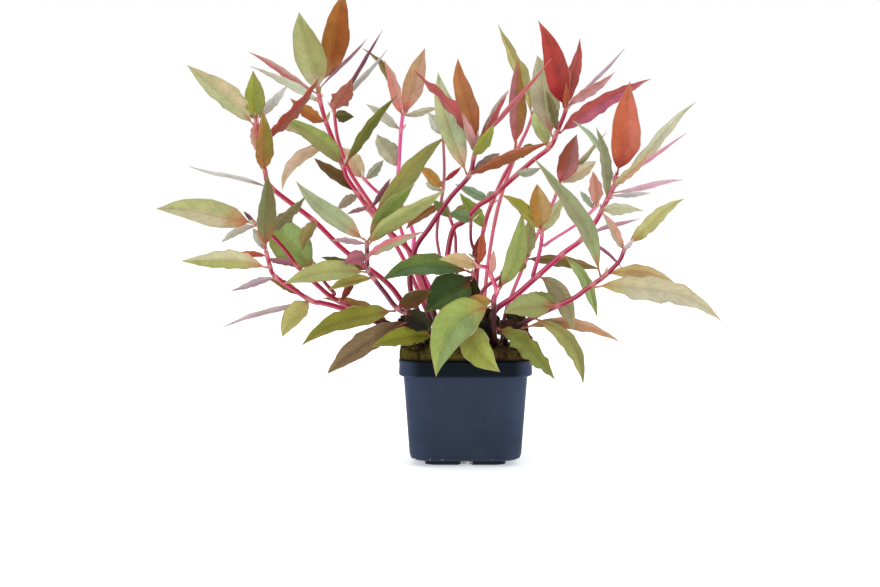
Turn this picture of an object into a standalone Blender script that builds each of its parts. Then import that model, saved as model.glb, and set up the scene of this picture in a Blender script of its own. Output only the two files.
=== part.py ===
"""A potted alternanthera reineckii: a square nursery pot, its soil plug, the stems and the leaves.

The underside of the pot's foot is at z = 0 with its centre at the origin. The plant's broad side
faces -Y. Lengths are in metres, and places inside the tables are read as the comments there say.
"""

import math
from typing import NamedTuple

import bmesh
import bpy
from mathutils import Matrix, Vector

MM = 0.001
NAME = "alternanthera_reineckii"

# Pot: half widths and heights of the moulded wall, from the foot up the outside and down the inside.
POT_HEIGHT = 72 * MM
RIM_HALF = 45 * MM
RIM_BAND = 10.5 * MM
BODY_TOP_HALF = 41.8 * MM
BODY_LOW_HALF = 38.0 * MM
FOOT_HALF = 27.5 * MM
FOOT_HEIGHT = 3.4 * MM
WALL = 1.5 * MM
CORNER_SHARE = 0.3
CORNER_STEPS = 3
NOTCH = (9 * MM, 8 * MM, 2.2 * MM)

# Soil plug: it fills the pot, spreads over the rim and stands a little above it.
GAP = 0.3 * MM
SOIL_TOP = 79 * MM
SOIL_HALF = 44.4 * MM
SOIL_MOUND = 3 * MM
SOIL_SLOPE = 5.5 * MM
SHOULDER = 1.5 * MM
SOIL_RINGS = 3

# Stems and leaves.
SOCKET_DEPTH = 7 * MM
SOCKET_CLEAR = 0.35 * MM
STEM_SIDES = 1
SLIGHT_BEND = 1.3 * MM
LEAF_THICKNESS = 0.8 * MM
STALK_HALF = 0.75 * MM
STALK_SHARE = 0.05
STALK_CLEAR = 1.15 * MM
END_SET_BACK = 1.6 * MM
TIP_HALF = 0.35 * MM
BASE_POWER = 0.7
TIP_POWER = 0.8
LEAF_FOLD = 0.28
LARGE_LEAF_STEPS = 5
SMALL_LEAF_STEPS = 3
LEAF_LIFT = 0.07

# The viewer's place, from which the columns and rows below are seen: a picture 880 wide and 587 high.
VIEW_DISTANCE = 1.53
VIEW_TILT = math.radians(4)
VIEW_LENGTH = 2216
VIEW_CENTRE = (440, 293.5)
FOOT_AT = (465, 459)
DEPTH_SPREAD = 1.35
REACH_SPREAD = 1.8

COLOURS = {
    "pot": (0.045, 0.056, 0.083),
    "soil": (0.055, 0.036, 0.017),
    "stem": (0.50, 0.035, 0.09),
    "beige": (0.52, 0.42, 0.22),
    "tan": (0.50, 0.34, 0.18),
    "olive": (0.34, 0.30, 0.08),
    "dark_olive": (0.15, 0.13, 0.035),
    "bronze": (0.26, 0.13, 0.04),
    "green": (0.25, 0.30, 0.09),
    "dark_green": (0.07, 0.13, 0.035),
    "grey_green": (0.32, 0.33, 0.18),
    "pale_green": (0.50, 0.55, 0.30),
    "pale": (0.58, 0.60, 0.50),
    "orange": (0.48, 0.15, 0.05),
    "red": (0.46, 0.06, 0.05),
    "dark_red": (0.30, 0.06, 0.05),
    "salmon": (0.58, 0.26, 0.20),
    "pink": (0.58, 0.16, 0.22),
    "mauve": (0.40, 0.16, 0.22),
}


class Leaf(NamedTuple):
    """A leaf. Places are the column and row in the view; reach, width and bow are millimetres."""

    name: str
    at: tuple  # where its stalk leaves the stem
    tip: tuple
    reach: float  # how much further from the viewer the tip is than the stalk
    width: float  # across the blade
    turn: float  # degrees about its midrib, 0 with its face to the viewer
    bow: float  # how far its middle stands above the straight line to its tip
    colour: str
    own: bool = False  # a large leaf is a piece of its own, a small one grows on the stem's piece


class Stem(NamedTuple):
    """A stem. root is its place in the soil, x and y in millimetres, or None where it forks off
    another stem. route is its column, its row and its millimetres behind the pot's middle."""

    name: str
    root: tuple
    thick: tuple  # its width in millimetres at the bottom and at the top
    route: list
    leaves: list


STEMS = [
    Stem("stem_left_upper", (-24, -4), (3.6, 2.4),
         [(422, 330, -6), (403, 303, -8), (385, 281, -10), (345, 251, -12), (313, 220, -16),
          (272, 188, -20), (265, 171, -22), (259, 141, -24), (256, 118, -25)],
         [Leaf("upper_left_beige", (257, 124), (187, 65), -10, 16, 20, 2, "beige", True),
          Leaf("upper_left_olive", (256, 118), (253, 70), -4, 14, 10, 0, "olive"),
          Leaf("upper_left_pale", (256, 118), (288, 85), 10, 8, 45, 0, "pale"),
          Leaf("upper_left_red", (260, 143), (322, 73), -8, 14, 45, -2, "red", True),
          Leaf("left_upright_brown", (265, 171), (263, 110), -16, 13, 25, 0, "bronze"),
          Leaf("upper_left_salmon", (256, 121), (256, 152), 12, 8, 30, 0, "salmon"),
          Leaf("upper_left_bud", (256, 118), (245, 108), 4, 4, 30, 0, "dark_red"),
          Leaf("upper_left_grey", (256, 118), (222, 90), 12, 6, 50, 0, "pale"),
          Leaf("left_narrow_green", (272, 188), (189, 166), 8, 8, 60, 0, "grey_green"),
          Leaf("left_inner_brown", (313, 220), (302, 251), -10, 11, 35, 0, "bronze")]),
    Stem("stem_left_middle", (-27, -14), (3.4, 2.2),
         [(420, 338, -17), (385, 322, -23), (338, 301, -29), (316, 284, -31), (297, 266, -33),
          (285, 250, -34), (269, 233, -36), (256, 224, -37)],
         [Leaf("left_long_tan", (256, 224), (156, 209), -10, 18, 15, 3, "tan", True),
          Leaf("left_grey_narrow", (256, 224), (221, 243), 12, 7, 40, 2, "mauve"),
          Leaf("left_purple_bud", (256, 224), (243, 211), 6, 4, 0, 0, "mauve"),
          Leaf("left_wavy_olive", (269, 233), (307, 195), -10, 10, 40, 0, "dark_olive"),
          Leaf("left_purple_small", (297, 266), (268, 258), 8, 6, 40, 0, "mauve"),
          Leaf("left_red_brown", (341, 302), (358, 268), 8, 6, 30, 0, "bronze"),
          Leaf("low_left_bronze", (392, 324), (322, 298), 14, 9, 40, 4, "bronze")]),
    Stem("stem_left_fork", None, (2.4, 1.8),
         [(334, 293, -27), (326, 284, -23), (315, 268, -18)],
         [Leaf("left_round_green", (316, 269), (272, 213), 3, 26, 10, -3, "green", True),
          Leaf("left_fork_pale", (315, 268), (268, 246), 20, 9, 30, 2, "pale_green")]),
    Stem("stem_left_low", (-29, -24), (3.6, 2.3),
         [(418, 343, -28), (396, 330, -34), (343, 309, -42), (322, 303, -45), (310, 300, -46),
          (276, 277, -48), (270, 266, -48), (266, 251, -49)],
         [Leaf("left_upright_dark", (266, 251), (267, 172), -6, 14, 30, 0, "dark_olive", True),
          Leaf("left_pale_small", (266, 252), (253, 228), 8, 7, 30, 0, "pale"),
          Leaf("left_low_beige", (270, 266), (180, 261), -8, 13, 25, 3, "beige", True),
          Leaf("left_orange_bud", (267, 256), (236, 253), 6, 5, 40, 0, "orange"),
          Leaf("left_low_mauve", (276, 277), (230, 291), -6, 6, 40, 0, "mauve"),
          Leaf("left_low_short", (306, 298), (268, 279), 8, 7, 45, 1, "dark_olive"),
          Leaf("left_low_droop", (310, 300), (282, 337), -8, 14, 20, 2, "olive"),
          Leaf("left_low_long", (312, 300), (218, 330), 8, 6, 50, 2, "mauve")]),
    Stem("stem_upper_left", (-13, 0), (3.6, 2.4),
         [(438, 325, 2), (425, 285, 6), (410, 252, 8), (395, 237, 10), (376, 218, 12),
          (358, 194, 14), (347, 178, 15), (343, 166, 16), (333, 140, 17), (326, 122, 18),
          (321, 105, 18), (318, 88, 18)],
         [Leaf("top_left_olive", (318, 92), (299, 12), -10, 21, 10, 0, "olive", True),
          Leaf("top_left_orange", (318, 88), (345, -8), 10, 19, 15, -2, "orange", True),
          Leaf("top_left_purple", (318, 90), (367, 39), 8, 8, 60, 0, "mauve"),
          Leaf("top_left_red", (319, 95), (249, 52), 8, 9, 50, 0, "red"),
          Leaf("top_left_grey", (320, 100), (250, 66), 16, 7, 55, 0, "pale"),
          Leaf("top_left_pale", (321, 103), (262, 69), -8, 9, 50, 0, "pale_green"),
          Leaf("upper_dark_narrow", (343, 166), (398, 95), -8, 11, 35, 3, "dark_olive", True),
          Leaf("upper_olive_left", (343, 166), (279, 116), -10, 13, 20, 4, "green"),
          Leaf("upper_beige_left", (334, 143), (272, 125), 10, 10, 40, 2, "beige"),
          Leaf("upper_orange_left", (326, 122), (290, 98), -6, 10, 30, -2, "orange"),
          Leaf("upper_salmon_drop", (334, 143), (282, 190), 8, 10, 30, 8, "salmon"),
          Leaf("left_inner_dark", (357, 193), (314, 158), 10, 10, 35, 0, "dark_olive"),
          Leaf("left_inner_drop", (358, 194), (336, 210), -5, 8, 35, 0, "dark_olive"),
          Leaf("left_inner_purple", (368, 207), (347, 214), -5, 5, 40, 0, "mauve"),
          Leaf("upper_centre_olive", (373, 214), (447, 136), -8, 15, 25, 2, "olive", True),
          Leaf("upper_centre_purple", (370, 210), (391, 178), 8, 5, 40, 0, "mauve")]),
    Stem("stem_upper_left_back", (-15, 12), (3.0, 2.0),
         [(430, 318, 18), (405, 262, 28), (378, 215, 33), (360, 188, 34), (350, 172, 35),
          (343, 155, 36), (337, 135, 37), (334, 108, 38)],
         [Leaf("upper_brick", (334, 108), (352, 78), -9, 14, 30, 0, "salmon"),
          Leaf("upper_purple_narrow", (334, 108), (383, 30), 6, 8, 60, 0, "mauve"),
          Leaf("upper_pale_narrow", (334, 110), (387, 50), 14, 8, 50, 0, "pale_green"),
          Leaf("upper_dark_small", (335, 115), (354, 117), -6, 9, 20, 0, "dark_olive")]),
    Stem("stem_back_pink", (-7, 26), (3.2, 2.2),
         [(446, 318, 34), (425, 278, 46), (414, 250, 55), (413, 232, 59), (398, 195, 64),
          (399, 165, 66), (401, 130, 68), (403, 114, 68)],
         [Leaf("back_orange", (403, 114), (384, 60), -8, 10, 30, 0, "salmon"),
          Leaf("back_tan", (403, 114), (425, 48), 4, 15, 10, 0, "tan"),
          Leaf("back_small", (403, 116), (438, 108), 4, 6, 30, 0, "pale"),
          Leaf("back_wavy", (403, 114), (362, 48), 10, 8, 40, 6, "dark_olive"),
          Leaf("back_twig", (401, 130), (366, 104), 4, 8, 30, 0, "pale"),
          Leaf("back_grey", (399, 168), (377, 134), 8, 15, 20, 0, "grey_green")]),
    Stem("stem_back_left", (-20, 24), (2.8, 2.0),
         [(428, 308, 38), (406, 245, 68), (392, 205, 78), (375, 190, 80), (363, 178, 81)],
         [Leaf("back_left_beige", (363, 178), (342, 147), 4, 14, 15, 0, "beige"),
          Leaf("back_left_grey", (365, 180), (384, 160), 6, 8, 30, 0, "grey_green")]),
    Stem("stem_centre_dark", (-23, 5), (3.6, 2.4),
         [(422, 322, 0), (410, 285, -8), (415, 250, -12), (430, 227, -14), (450, 198, -16),
          (469, 176, -17), (474, 157, -18), (478, 141, -18)],
         [Leaf("centre_red_wavy", (477, 145), (414, 70), -8, 12, 45, 3, "red", True),
          Leaf("centre_pale_large", (469, 176), (438, 72), 10, 17, 10, -2, "pale_green", True),
          Leaf("centre_orange_top", (478, 142), (458, 58), 10, 14, 15, -2, "orange"),
          Leaf("centre_grey_thin", (478, 141), (509, 90), 14, 6, 50, 2, "pale"),
          Leaf("centre_red_long", (478, 141), (552, 58), -4, 7, 55, 0, "pink"),
          Leaf("centre_red_short", (478, 141), (509, 91), 5, 6, 50, 0, "red"),
          Leaf("centre_pink", (475, 153), (462, 112), -8, 8, 40, 0, "pink"),
          Leaf("centre_narrow_green", (478, 141), (500, 106), 12, 6, 40, 0, "pale_green"),
          Leaf("centre_olive", (474, 157), (494, 124), -9, 10, 30, 0, "olive"),
          Leaf("centre_grey_brown", (470, 174), (500, 153), 8, 10, 30, 0, "bronze"),
          Leaf("centre_orange_long", (469, 176), (551, 142), -8, 10, 40, 2, "orange"),
          Leaf("crown_left_shade", (421, 315), (404, 340), 2, 22, 10, 0, "dark_green")]),
    Stem("stem_back_thin", (2, 17), (2.2, 1.7),
         [(450, 318, 26), (440, 258, 40), (437, 230, 44), (444, 180, 46), (443, 133, 46)],
         [Leaf("back_gold", (443, 187), (418, 166), -6, 9, 25, 0, "orange"),
          Leaf("back_red_arm", (444, 182), (462, 166), 4, 4, 30, 0, "red"),
          Leaf("back_brown_drop", (440, 206), (405, 230), -6, 9, 35, 2, "bronze"),
          Leaf("back_mint", (443, 192), (426, 182), 8, 7, 30, 0, "pale"),
          Leaf("back_pale_top", (443, 133), (428, 112), 2, 9, 20, 0, "pale")]),
    Stem("stem_centre_right", (10, 8), (3.0, 2.2),
         [(476, 305, 13), (478, 262, 18), (484, 228, 22), (490, 208, 24), (503, 178, 26),
          (510, 165, 26), (515, 150, 27)],
         [Leaf("centre_right_mauve", (515, 150), (518, 56), -4, 13, 20, 0, "mauve", True),
          Leaf("centre_right_dark", (513, 157), (533, 145), 8, 8, 30, 0, "dark_olive"),
          Leaf("centre_green", (484, 228), (460, 193), -6, 11, 30, 0, "green"),
          Leaf("centre_blue_green", (492, 203), (455, 184), 8, 8, 35, 0, "grey_green"),
          Leaf("crown_right_olive", (476, 304), (503, 336), -4, 16, 20, 0, "dark_olive")]),
    Stem("stem_right_upper", (-10, -10), (3.6, 2.4),
         [(450, 318, -9), (446, 275, -3), (452, 232, 2), (464, 221, 3), (478, 206, 5),
          (493, 196, 6), (530, 163, 9), (550, 147, 10), (557, 132, 11), (563, 118, 12),
          (567, 106, 12)],
         [Leaf("top_right_red", (567, 108), (538, 20), -9, 17, 10, 2, "red", True),
          Leaf("right_pale_broad", (555, 137), (537, 55), 12, 20, 10, 0, "beige", True),
          Leaf("right_dark_small", (558, 131), (546, 90), -9, 8, 35, 0, "dark_olive"),
          Leaf("right_green_back", (548, 149), (535, 112), 22, 13, 20, 0, "pale_green"),
          Leaf("top_right_red_narrow", (567, 106), (580, 38), 6, 10, 25, 0, "red"),
          Leaf("top_right_salmon", (567, 107), (615, 72), -6, 9, 40, 0, "salmon"),
          Leaf("top_right_mauve", (566, 110), (625, 48), 12, 7, 55, 0, "mauve"),
          Leaf("top_right_bud", (567, 106), (566, 82), -9, 4, 0, 0, "orange"),
          Leaf("right_dark_red_long", (557, 132), (651, 79), -10, 14, 35, 4, "dark_red", True),
          Leaf("right_upper_pale", (517, 175), (541, 168), -7, 7, 30, 0, "pale"),
          Leaf("right_upper_grey", (497, 192), (486, 200), 9, 7, 30, 0, "grey_green")]),
    Stem("stem_back_right", (17, 26), (2.8, 2.0),
         [(484, 308, 38), (490, 250, 62), (500, 200, 74), (517, 152, 80), (527, 130, 82),
          (533, 114, 83)],
         [Leaf("back_right_olive", (533, 114), (498, 24), -6, 11, 30, 2, "olive"),
          Leaf("back_right_pale", (532, 116), (549, 84), 4, 9, 30, 0, "pale_green")]),
    Stem("stem_right_main", (18, -17), (3.8, 2.4),
         [(491, 332, -22), (495, 311, -26), (515, 296, -29), (531, 282, -30), (550, 265, -31),
          (565, 252, -32), (581, 240, -33), (596, 221, -34), (607, 200, -35), (614, 186, -36),
          (617, 176, -36)],
         [Leaf("right_orange", (617, 176), (630, 81), -6, 20, 5, -1, "orange", True),
          Leaf("right_olive_long", (615, 183), (696, 102), 12, 10, 40, 2, "beige", True),
          Leaf("right_pink_narrow", (616, 180), (687, 133), -6, 8, 60, 0, "pink"),
          Leaf("right_small_salmon", (613, 188), (652, 148), -14, 8, 40, 0, "salmon"),
          Leaf("right_mint", (614, 186), (572, 120), 14, 7, 50, 5, "pale_green"),
          Leaf("right_upright_grey", (607, 200), (596, 127), -9, 9, 35, 2, "dark_olive"),
          Leaf("right_pink_long", (610, 194), (683, 180), 6, 6, 40, 1, "pink"),
          Leaf("right_grey_thin", (609, 196), (651, 193), 14, 4, 30, 0, "pale"),
          Leaf("right_pale_leaf", (601, 211), (643, 211), -8, 9, 30, 2, "pale_green"),
          Leaf("right_mauve_thin", (583, 238), (640, 219), 6, 5, 40, 2, "mauve"),
          Leaf("right_thin_low", (581, 240), (625, 271), 6, 3, 0, 3, "mauve"),
          Leaf("right_inner_droop", (538, 276), (574, 331), -8, 14, 25, 6, "tan"),
          Leaf("right_inner_green", (562, 254), (597, 317), 8, 9, 35, 5, "green"),
          Leaf("crown_right_shade", (494, 317), (478, 343), 4, 15, 0, 0, "dark_green")]),
    Stem("stem_right_fork", None, (2.6, 2.0),
         [(533, 276, -27), (536, 265, -28), (540, 250, -28), (542, 235, -28), (541, 228, -28)],
         [Leaf("right_inner_orange", (541, 228), (537, 184), -4, 15, 15, 0, "orange"),
          Leaf("right_inner_pale", (542, 234), (565, 192), 6, 9, 30, 0, "pale_green"),
          Leaf("right_inner_olive", (541, 230), (502, 195), -8, 10, 30, 2, "olive")]),
    Stem("stem_right_pale", None, (2.0, 1.7),
         [(545, 245, -24), (552, 240, -20), (580, 222, -10), (598, 205, -4)],
         [Leaf("right_salmon_small", (596, 207), (593, 171), 2, 11, 30, 0, "salmon"),
          Leaf("right_mint_small", (593, 209), (580, 191), 6, 5, 30, 0, "pale")]),
    Stem("stem_right_back", (26, 16), (2.6, 2.0),
         [(508, 305, 22), (535, 240, 31), (552, 205, 35), (560, 182, 36)],
         [Leaf("right_back_red", (560, 182), (577, 134), -4, 15, 15, 0, "dark_red"),
          Leaf("right_back_beige", (560, 184), (596, 161), 8, 11, 30, 0, "beige"),
          Leaf("right_back_grey", (560, 182), (607, 132), 14, 6, 50, 0, "grey_green"),
          Leaf("crown_right_back", (508, 305), (529, 334), -5, 13, 15, 0, "dark_olive")]),
    Stem("stem_right_low", (27, -24), (3.4, 2.3),
         [(508, 336, -32), (530, 319, -40), (572, 299, -47), (585, 290, -47), (602, 278, -45),
          (612, 269, -45), (620, 260, -45), (625, 248, -45)],
         [Leaf("right_grey_long", (602, 278), (533, 157), -6, 15, 25, 6, "grey_green", True),
          Leaf("right_low_tan", (606, 275), (674, 282), 10, 11, 30, 5, "tan"),
          Leaf("right_low_long", (593, 285), (722, 322), -9, 18, 25, 11, "tan", True),
          Leaf("right_low_salmon", (625, 250), (602, 212), -7, 8, 35, 0, "salmon"),
          Leaf("right_low_olive", (625, 248), (684, 199), 4, 11, 25, 3, "olive", True),
          Leaf("right_low_bud", (624, 250), (634, 238), -5, 4, 20, 0, "pale"),
          Leaf("low_right_brown", (512, 333), (534, 339), 2, 11, 30, 0, "bronze"),
          Leaf("low_right_shade", (512, 333), (499, 320), 2, 12, 20, 0, "bronze"),
          Leaf("low_right_orange", (520, 326), (621, 343), 8, 11, 40, 9, "orange", True),
          Leaf("low_right_droop", (532, 316), (583, 385), 12, 12, 25, 10, "olive"),
          Leaf("low_right_broad", (556, 305), (504, 313), -6, 17, 20, 2, "pale_green", True),
          Leaf("low_right_dark", (556, 305), (530, 292), 8, 11, 30, 0, "green")]),
    Stem("stem_centre_low", (13, -9), (2.8, 2.0),
         [(480, 318, -10), (482, 292, -10), (500, 277, -9), (527, 258, -8)],
         [Leaf("inner_right_olive", (527, 258), (531, 215), -4, 11, 25, 0, "olive"),
          Leaf("inner_right_short", (526, 259), (508, 274), -6, 11, 20, 0, "olive"),
          Leaf("inner_right_brown", (527, 258), (601, 270), 12, 10, 35, 3, "bronze")]),
    Stem("stem_front_right", (20, -31), (3.4, 2.3),
         [(494, 330, -35), (494, 311, -37), (494, 298, -38), (497, 291, -39), (492, 278, -41),
          (487, 268, -42), (476, 266, -43)],
         [Leaf("front_large_green", (494, 306), (436, 377), -16, 26, 10, 12, "green", True),
          Leaf("low_right_wavy", (494, 328), (555, 380), -8, 16, 30, 5, "olive", True),
          Leaf("front_short_orange", (492, 301), (457, 314), 3, 12, 10, 2, "olive"),
          Leaf("front_inner_green", (497, 290), (522, 213), -8, 14, 20, -3, "green", True),
          Leaf("front_inner_brown", (497, 291), (523, 230), 8, 10, 40, 0, "bronze"),
          Leaf("front_salmon_small", (491, 276), (494, 250), -4, 5, 20, 0, "salmon"),
          Leaf("front_orange_small", (478, 266), (484, 232), 4, 7, 30, 0, "orange"),
          Leaf("front_tan", (476, 266), (438, 260), -4, 10, 25, 2, "tan")]),
    Stem("stem_front_left", (-17, -31), (3.4, 2.3),
         [(436, 336, -36), (415, 318, -43), (397, 308, -50), (385, 293, -53), (375, 280, -54),
          (368, 269, -55), (367, 250, -56), (367, 242, -56)],
         [Leaf("front_left_grey", (367, 242), (296, 181), -6, 13, 25, -2, "grey_green", True),
          Leaf("front_left_green", (367, 242), (415, 184), 6, 13, 30, 3, "green", True),
          Leaf("front_left_pale", (367, 246), (445, 190), -8, 13, 30, 3, "olive"),
          Leaf("front_mauve", (367, 256), (343, 264), -4, 10, 15, 1, "mauve"),
          Leaf("front_pink", (368, 258), (424, 232), -10, 9, 40, 3, "pink"),
          Leaf("front_narrow", (367, 244), (330, 241), 6, 5, 40, 1, "mauve"),
          Leaf("left_low_broad", (369, 270), (283, 284), -6, 14, 25, 4, "olive", True),
          Leaf("left_low_dark", (369, 270), (320, 257), 14, 7, 35, 0, "dark_olive"),
          Leaf("left_low_small", (374, 278), (328, 290), 6, 8, 35, 2, "olive"),
          Leaf("low_left_olive", (397, 308), (301, 346), -10, 15, 25, 6, "olive", True),
          Leaf("low_left_brown", (415, 318), (327, 374), 5, 18, 20, 4, "bronze", True),
          Leaf("crown_left_olive", (397, 308), (432, 291), 4, 12, 20, 1, "dark_olive"),
          Leaf("crown_left_grey", (404, 312), (431, 331), 2, 15, 15, 1, "dark_green"),
          Leaf("low_left_yellow", (434, 337), (371, 347), -12, 13, 25, 3, "olive")]),
    Stem("stem_crown", (2, -22), (3.0, 2.2),
         [(470, 325, -25), (475, 300, -28), (473, 272, -32)],
         [Leaf("crown_green", (473, 272), (381, 281), -10, 15, 25, 8, "dark_green", True),
          Leaf("crown_dark", (472, 283), (425, 313), -7, 26, 20, 3, "dark_green"),
          Leaf("crown_olive", (473, 274), (461, 306), 3, 20, 15, 0, "dark_olive"),
          Leaf("front_low_green", (469, 323), (500, 372), -18, 22, 20, -4, "olive", True)]),
    Stem("stem_centre_thin", (4, -3), (2.2, 1.7),
         [(470, 308, -3), (476, 262, -4), (471, 240, -5), (471, 218, -6)],
         [Leaf("centre_small_green", (471, 222), (447, 214), -4, 9, 20, 2, "grey_green"),
          Leaf("centre_small_red", (475, 258), (480, 236), -6, 8, 30, 0, "dark_red")]),
    Stem("stem_back_short", (-2, 30), (2.2, 1.8),
         [(459, 308, 33), (456, 255, 36), (455, 234, 37), (449, 215, 38)],
         [Leaf("back_short_green", (449, 215), (433, 200), -2, 8, 20, 0, "green"),
          Leaf("back_short_olive", (450, 218), (468, 204), 4, 8, 30, 0, "olive")]),
]


def clear_scene():
    for obj in list(bpy.data.objects):
        bpy.data.objects.remove(obj, do_unlink=True)


def new_collection(name, hidden=False):
    collection = bpy.data.collections.new(name)
    bpy.context.scene.collection.children.link(collection)
    collection.hide_render = hidden
    return collection


def material(name, roughness):
    """A Principled material of that colour, made once."""
    if name in bpy.data.materials:
        return bpy.data.materials[name]
    made = bpy.data.materials.new(name)
    made.use_nodes = True
    shader = made.node_tree.nodes["Principled BSDF"]
    shader.inputs["Base Color"].default_value = (*COLOURS[name], 1)
    shader.inputs["Roughness"].default_value = roughness
    shader.inputs["Metallic"].default_value = 0
    return made


def object_from(bm, name, collection, made_of, smooth=False):
    mesh = bpy.data.meshes.new(name)
    bmesh.ops.recalc_face_normals(bm, faces=bm.faces[:])
    if bm.calc_volume(signed=True) < 0:
        bmesh.ops.reverse_faces(bm, faces=bm.faces[:])
    bm.to_mesh(mesh)
    bm.free()
    for face in mesh.polygons:
        face.use_smooth = smooth
    mesh.materials.append(made_of)
    obj = bpy.data.objects.new(name, mesh)
    collection.objects.link(obj)
    return obj


def boolean(obj, operation, collection):
    modifier = obj.modifiers.new(operation.lower(), "BOOLEAN")
    modifier.operation = operation
    modifier.solver = "EXACT"
    modifier.operand_type = "COLLECTION"
    modifier.collection = collection
    modifier.material_mode = "TRANSFER"
    return modifier


def hide_helper(obj):
    obj.hide_render = True
    obj.display_type = "WIRE"


def spot(column, row, behind):
    """The point seen at this column and row, that many millimetres behind the pot's middle."""
    ahead = Vector((0, math.cos(VIEW_TILT), -math.sin(VIEW_TILT)))
    up = Vector((0, math.sin(VIEW_TILT), math.cos(VIEW_TILT)))

    def ray(at):
        across = at[0] - VIEW_CENTRE[0]
        down = at[1] - VIEW_CENTRE[1]
        return ahead * VIEW_LENGTH + Vector((across, 0, 0)) - up * down

    eye = -ray(FOOT_AT) * (VIEW_DISTANCE / VIEW_LENGTH)
    line = ray((column, row))
    return eye + line * ((behind * MM - eye.y) / line.y)


def rounded_square(bm, half):
    """One square face with rounded corners, centred on the z axis."""
    made = bmesh.ops.create_grid(bm, x_segments=1, y_segments=1, size=half)
    bmesh.ops.bevel(
        bm, geom=made["verts"], offset=half * CORNER_SHARE, offset_type="OFFSET",
        affect="VERTICES", segments=CORNER_STEPS, profile=0.5, material=-1,
    )
    bm.faces.ensure_lookup_table()
    return bm.faces[0]


def drawn_on(bm, face, keep):
    """Extrudes the face in place and returns the new one; the old one stays only as an end cap."""
    made = bmesh.ops.extrude_face_region(bm, geom=[face])["geom"]
    if not keep:
        bmesh.ops.delete(bm, geom=[face], context="FACES_ONLY")
    return [item for item in made if isinstance(item, bmesh.types.BMFace)][0]


def raise_face(bm, face, half, z, new_half, new_z, keep=False):
    """Draws the face on to another width and height, and returns the face at the far end."""
    end = drawn_on(bm, face, keep)
    corners = list(end.verts)
    share = new_half / half
    bmesh.ops.scale(bm, vec=(share, share, 1), verts=corners)
    bmesh.ops.translate(bm, vec=(0, 0, new_z - z), verts=corners)
    return end


def lathe_square(profile):
    """A closed form whose rounded square sections have these half widths and heights."""
    bm = bmesh.new()
    half, z = profile[0]
    face = rounded_square(bm, half)
    bmesh.ops.translate(bm, vec=(0, 0, z), verts=bm.verts[:])
    for index, (new_half, new_z) in enumerate(profile[1:]):
        face = raise_face(bm, face, half, z, new_half, new_z, keep=index == 0)
        half, z = new_half, new_z
    return bm


def pot_profile():
    rim_low = POT_HEIGHT - RIM_BAND
    outside = [
        (FOOT_HALF, 0), (FOOT_HALF, FOOT_HEIGHT), (BODY_LOW_HALF - 4 * MM, FOOT_HEIGHT),
        (BODY_LOW_HALF - 1 * MM, FOOT_HEIGHT + 1.6 * MM), (BODY_LOW_HALF, FOOT_HEIGHT + 5 * MM),
        (BODY_TOP_HALF, rim_low - 1 * MM), (RIM_HALF - 0.8 * MM, rim_low),
        (RIM_HALF, rim_low + 0.8 * MM), (RIM_HALF, POT_HEIGHT - 1 * MM),
        (RIM_HALF - 0.8 * MM, POT_HEIGHT),
    ]
    inside = [
        (RIM_HALF - WALL, POT_HEIGHT), (RIM_HALF - WALL - 0.4 * MM, rim_low + WALL),
        (BODY_TOP_HALF - WALL, rim_low), (BODY_LOW_HALF - WALL, FOOT_HEIGHT + 5 * MM),
        (BODY_LOW_HALF - 3 * MM, FOOT_HEIGHT + 2 * WALL),
    ]
    return outside + inside


def make_pot(collection):
    pot = object_from(lathe_square(pot_profile()), "pot", collection, material("pot", 0.4))
    notches = new_collection("notch_cutters", True)
    bm = bmesh.new()
    for quarter in range(4):
        made = bmesh.ops.create_cube(bm, size=1)["verts"]
        bmesh.ops.scale(bm, vec=(NOTCH[0], NOTCH[1], 2 * NOTCH[2]), verts=made)
        bmesh.ops.translate(bm, vec=(0, -FOOT_HALF, 0), verts=made)
        turned = Matrix.Rotation(math.pi / 2 * quarter, 3, "Z")
        bmesh.ops.rotate(bm, cent=(0, 0, 0), matrix=turned, verts=made)
    hide_helper(object_from(bm, "notches", notches, material("pot", 0.4)))
    boolean(pot, "DIFFERENCE", notches)
    return pot


def soil_height(x, y):
    """Height of the lumpy top of the plug, with a mound towards the right and the front, beyond
    which it slopes down to the rim."""
    waves = math.sin(x * 190 + 1.1) * math.cos(y * 230 + 0.4) + 0.6 * math.sin(x * 90 - y * 140)
    mound = math.exp(-((x - 27 * MM) ** 2 + (y + 22 * MM) ** 2) / (15 * MM) ** 2)
    slope = min(max((x - 26 * MM) / (18 * MM), 0), 1) ** 1.5
    height = SOIL_TOP + 0.9 * MM * waves + SOIL_MOUND * mound - SOIL_SLOPE * slope
    return max(height, POT_HEIGHT + SHOULDER)


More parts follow.
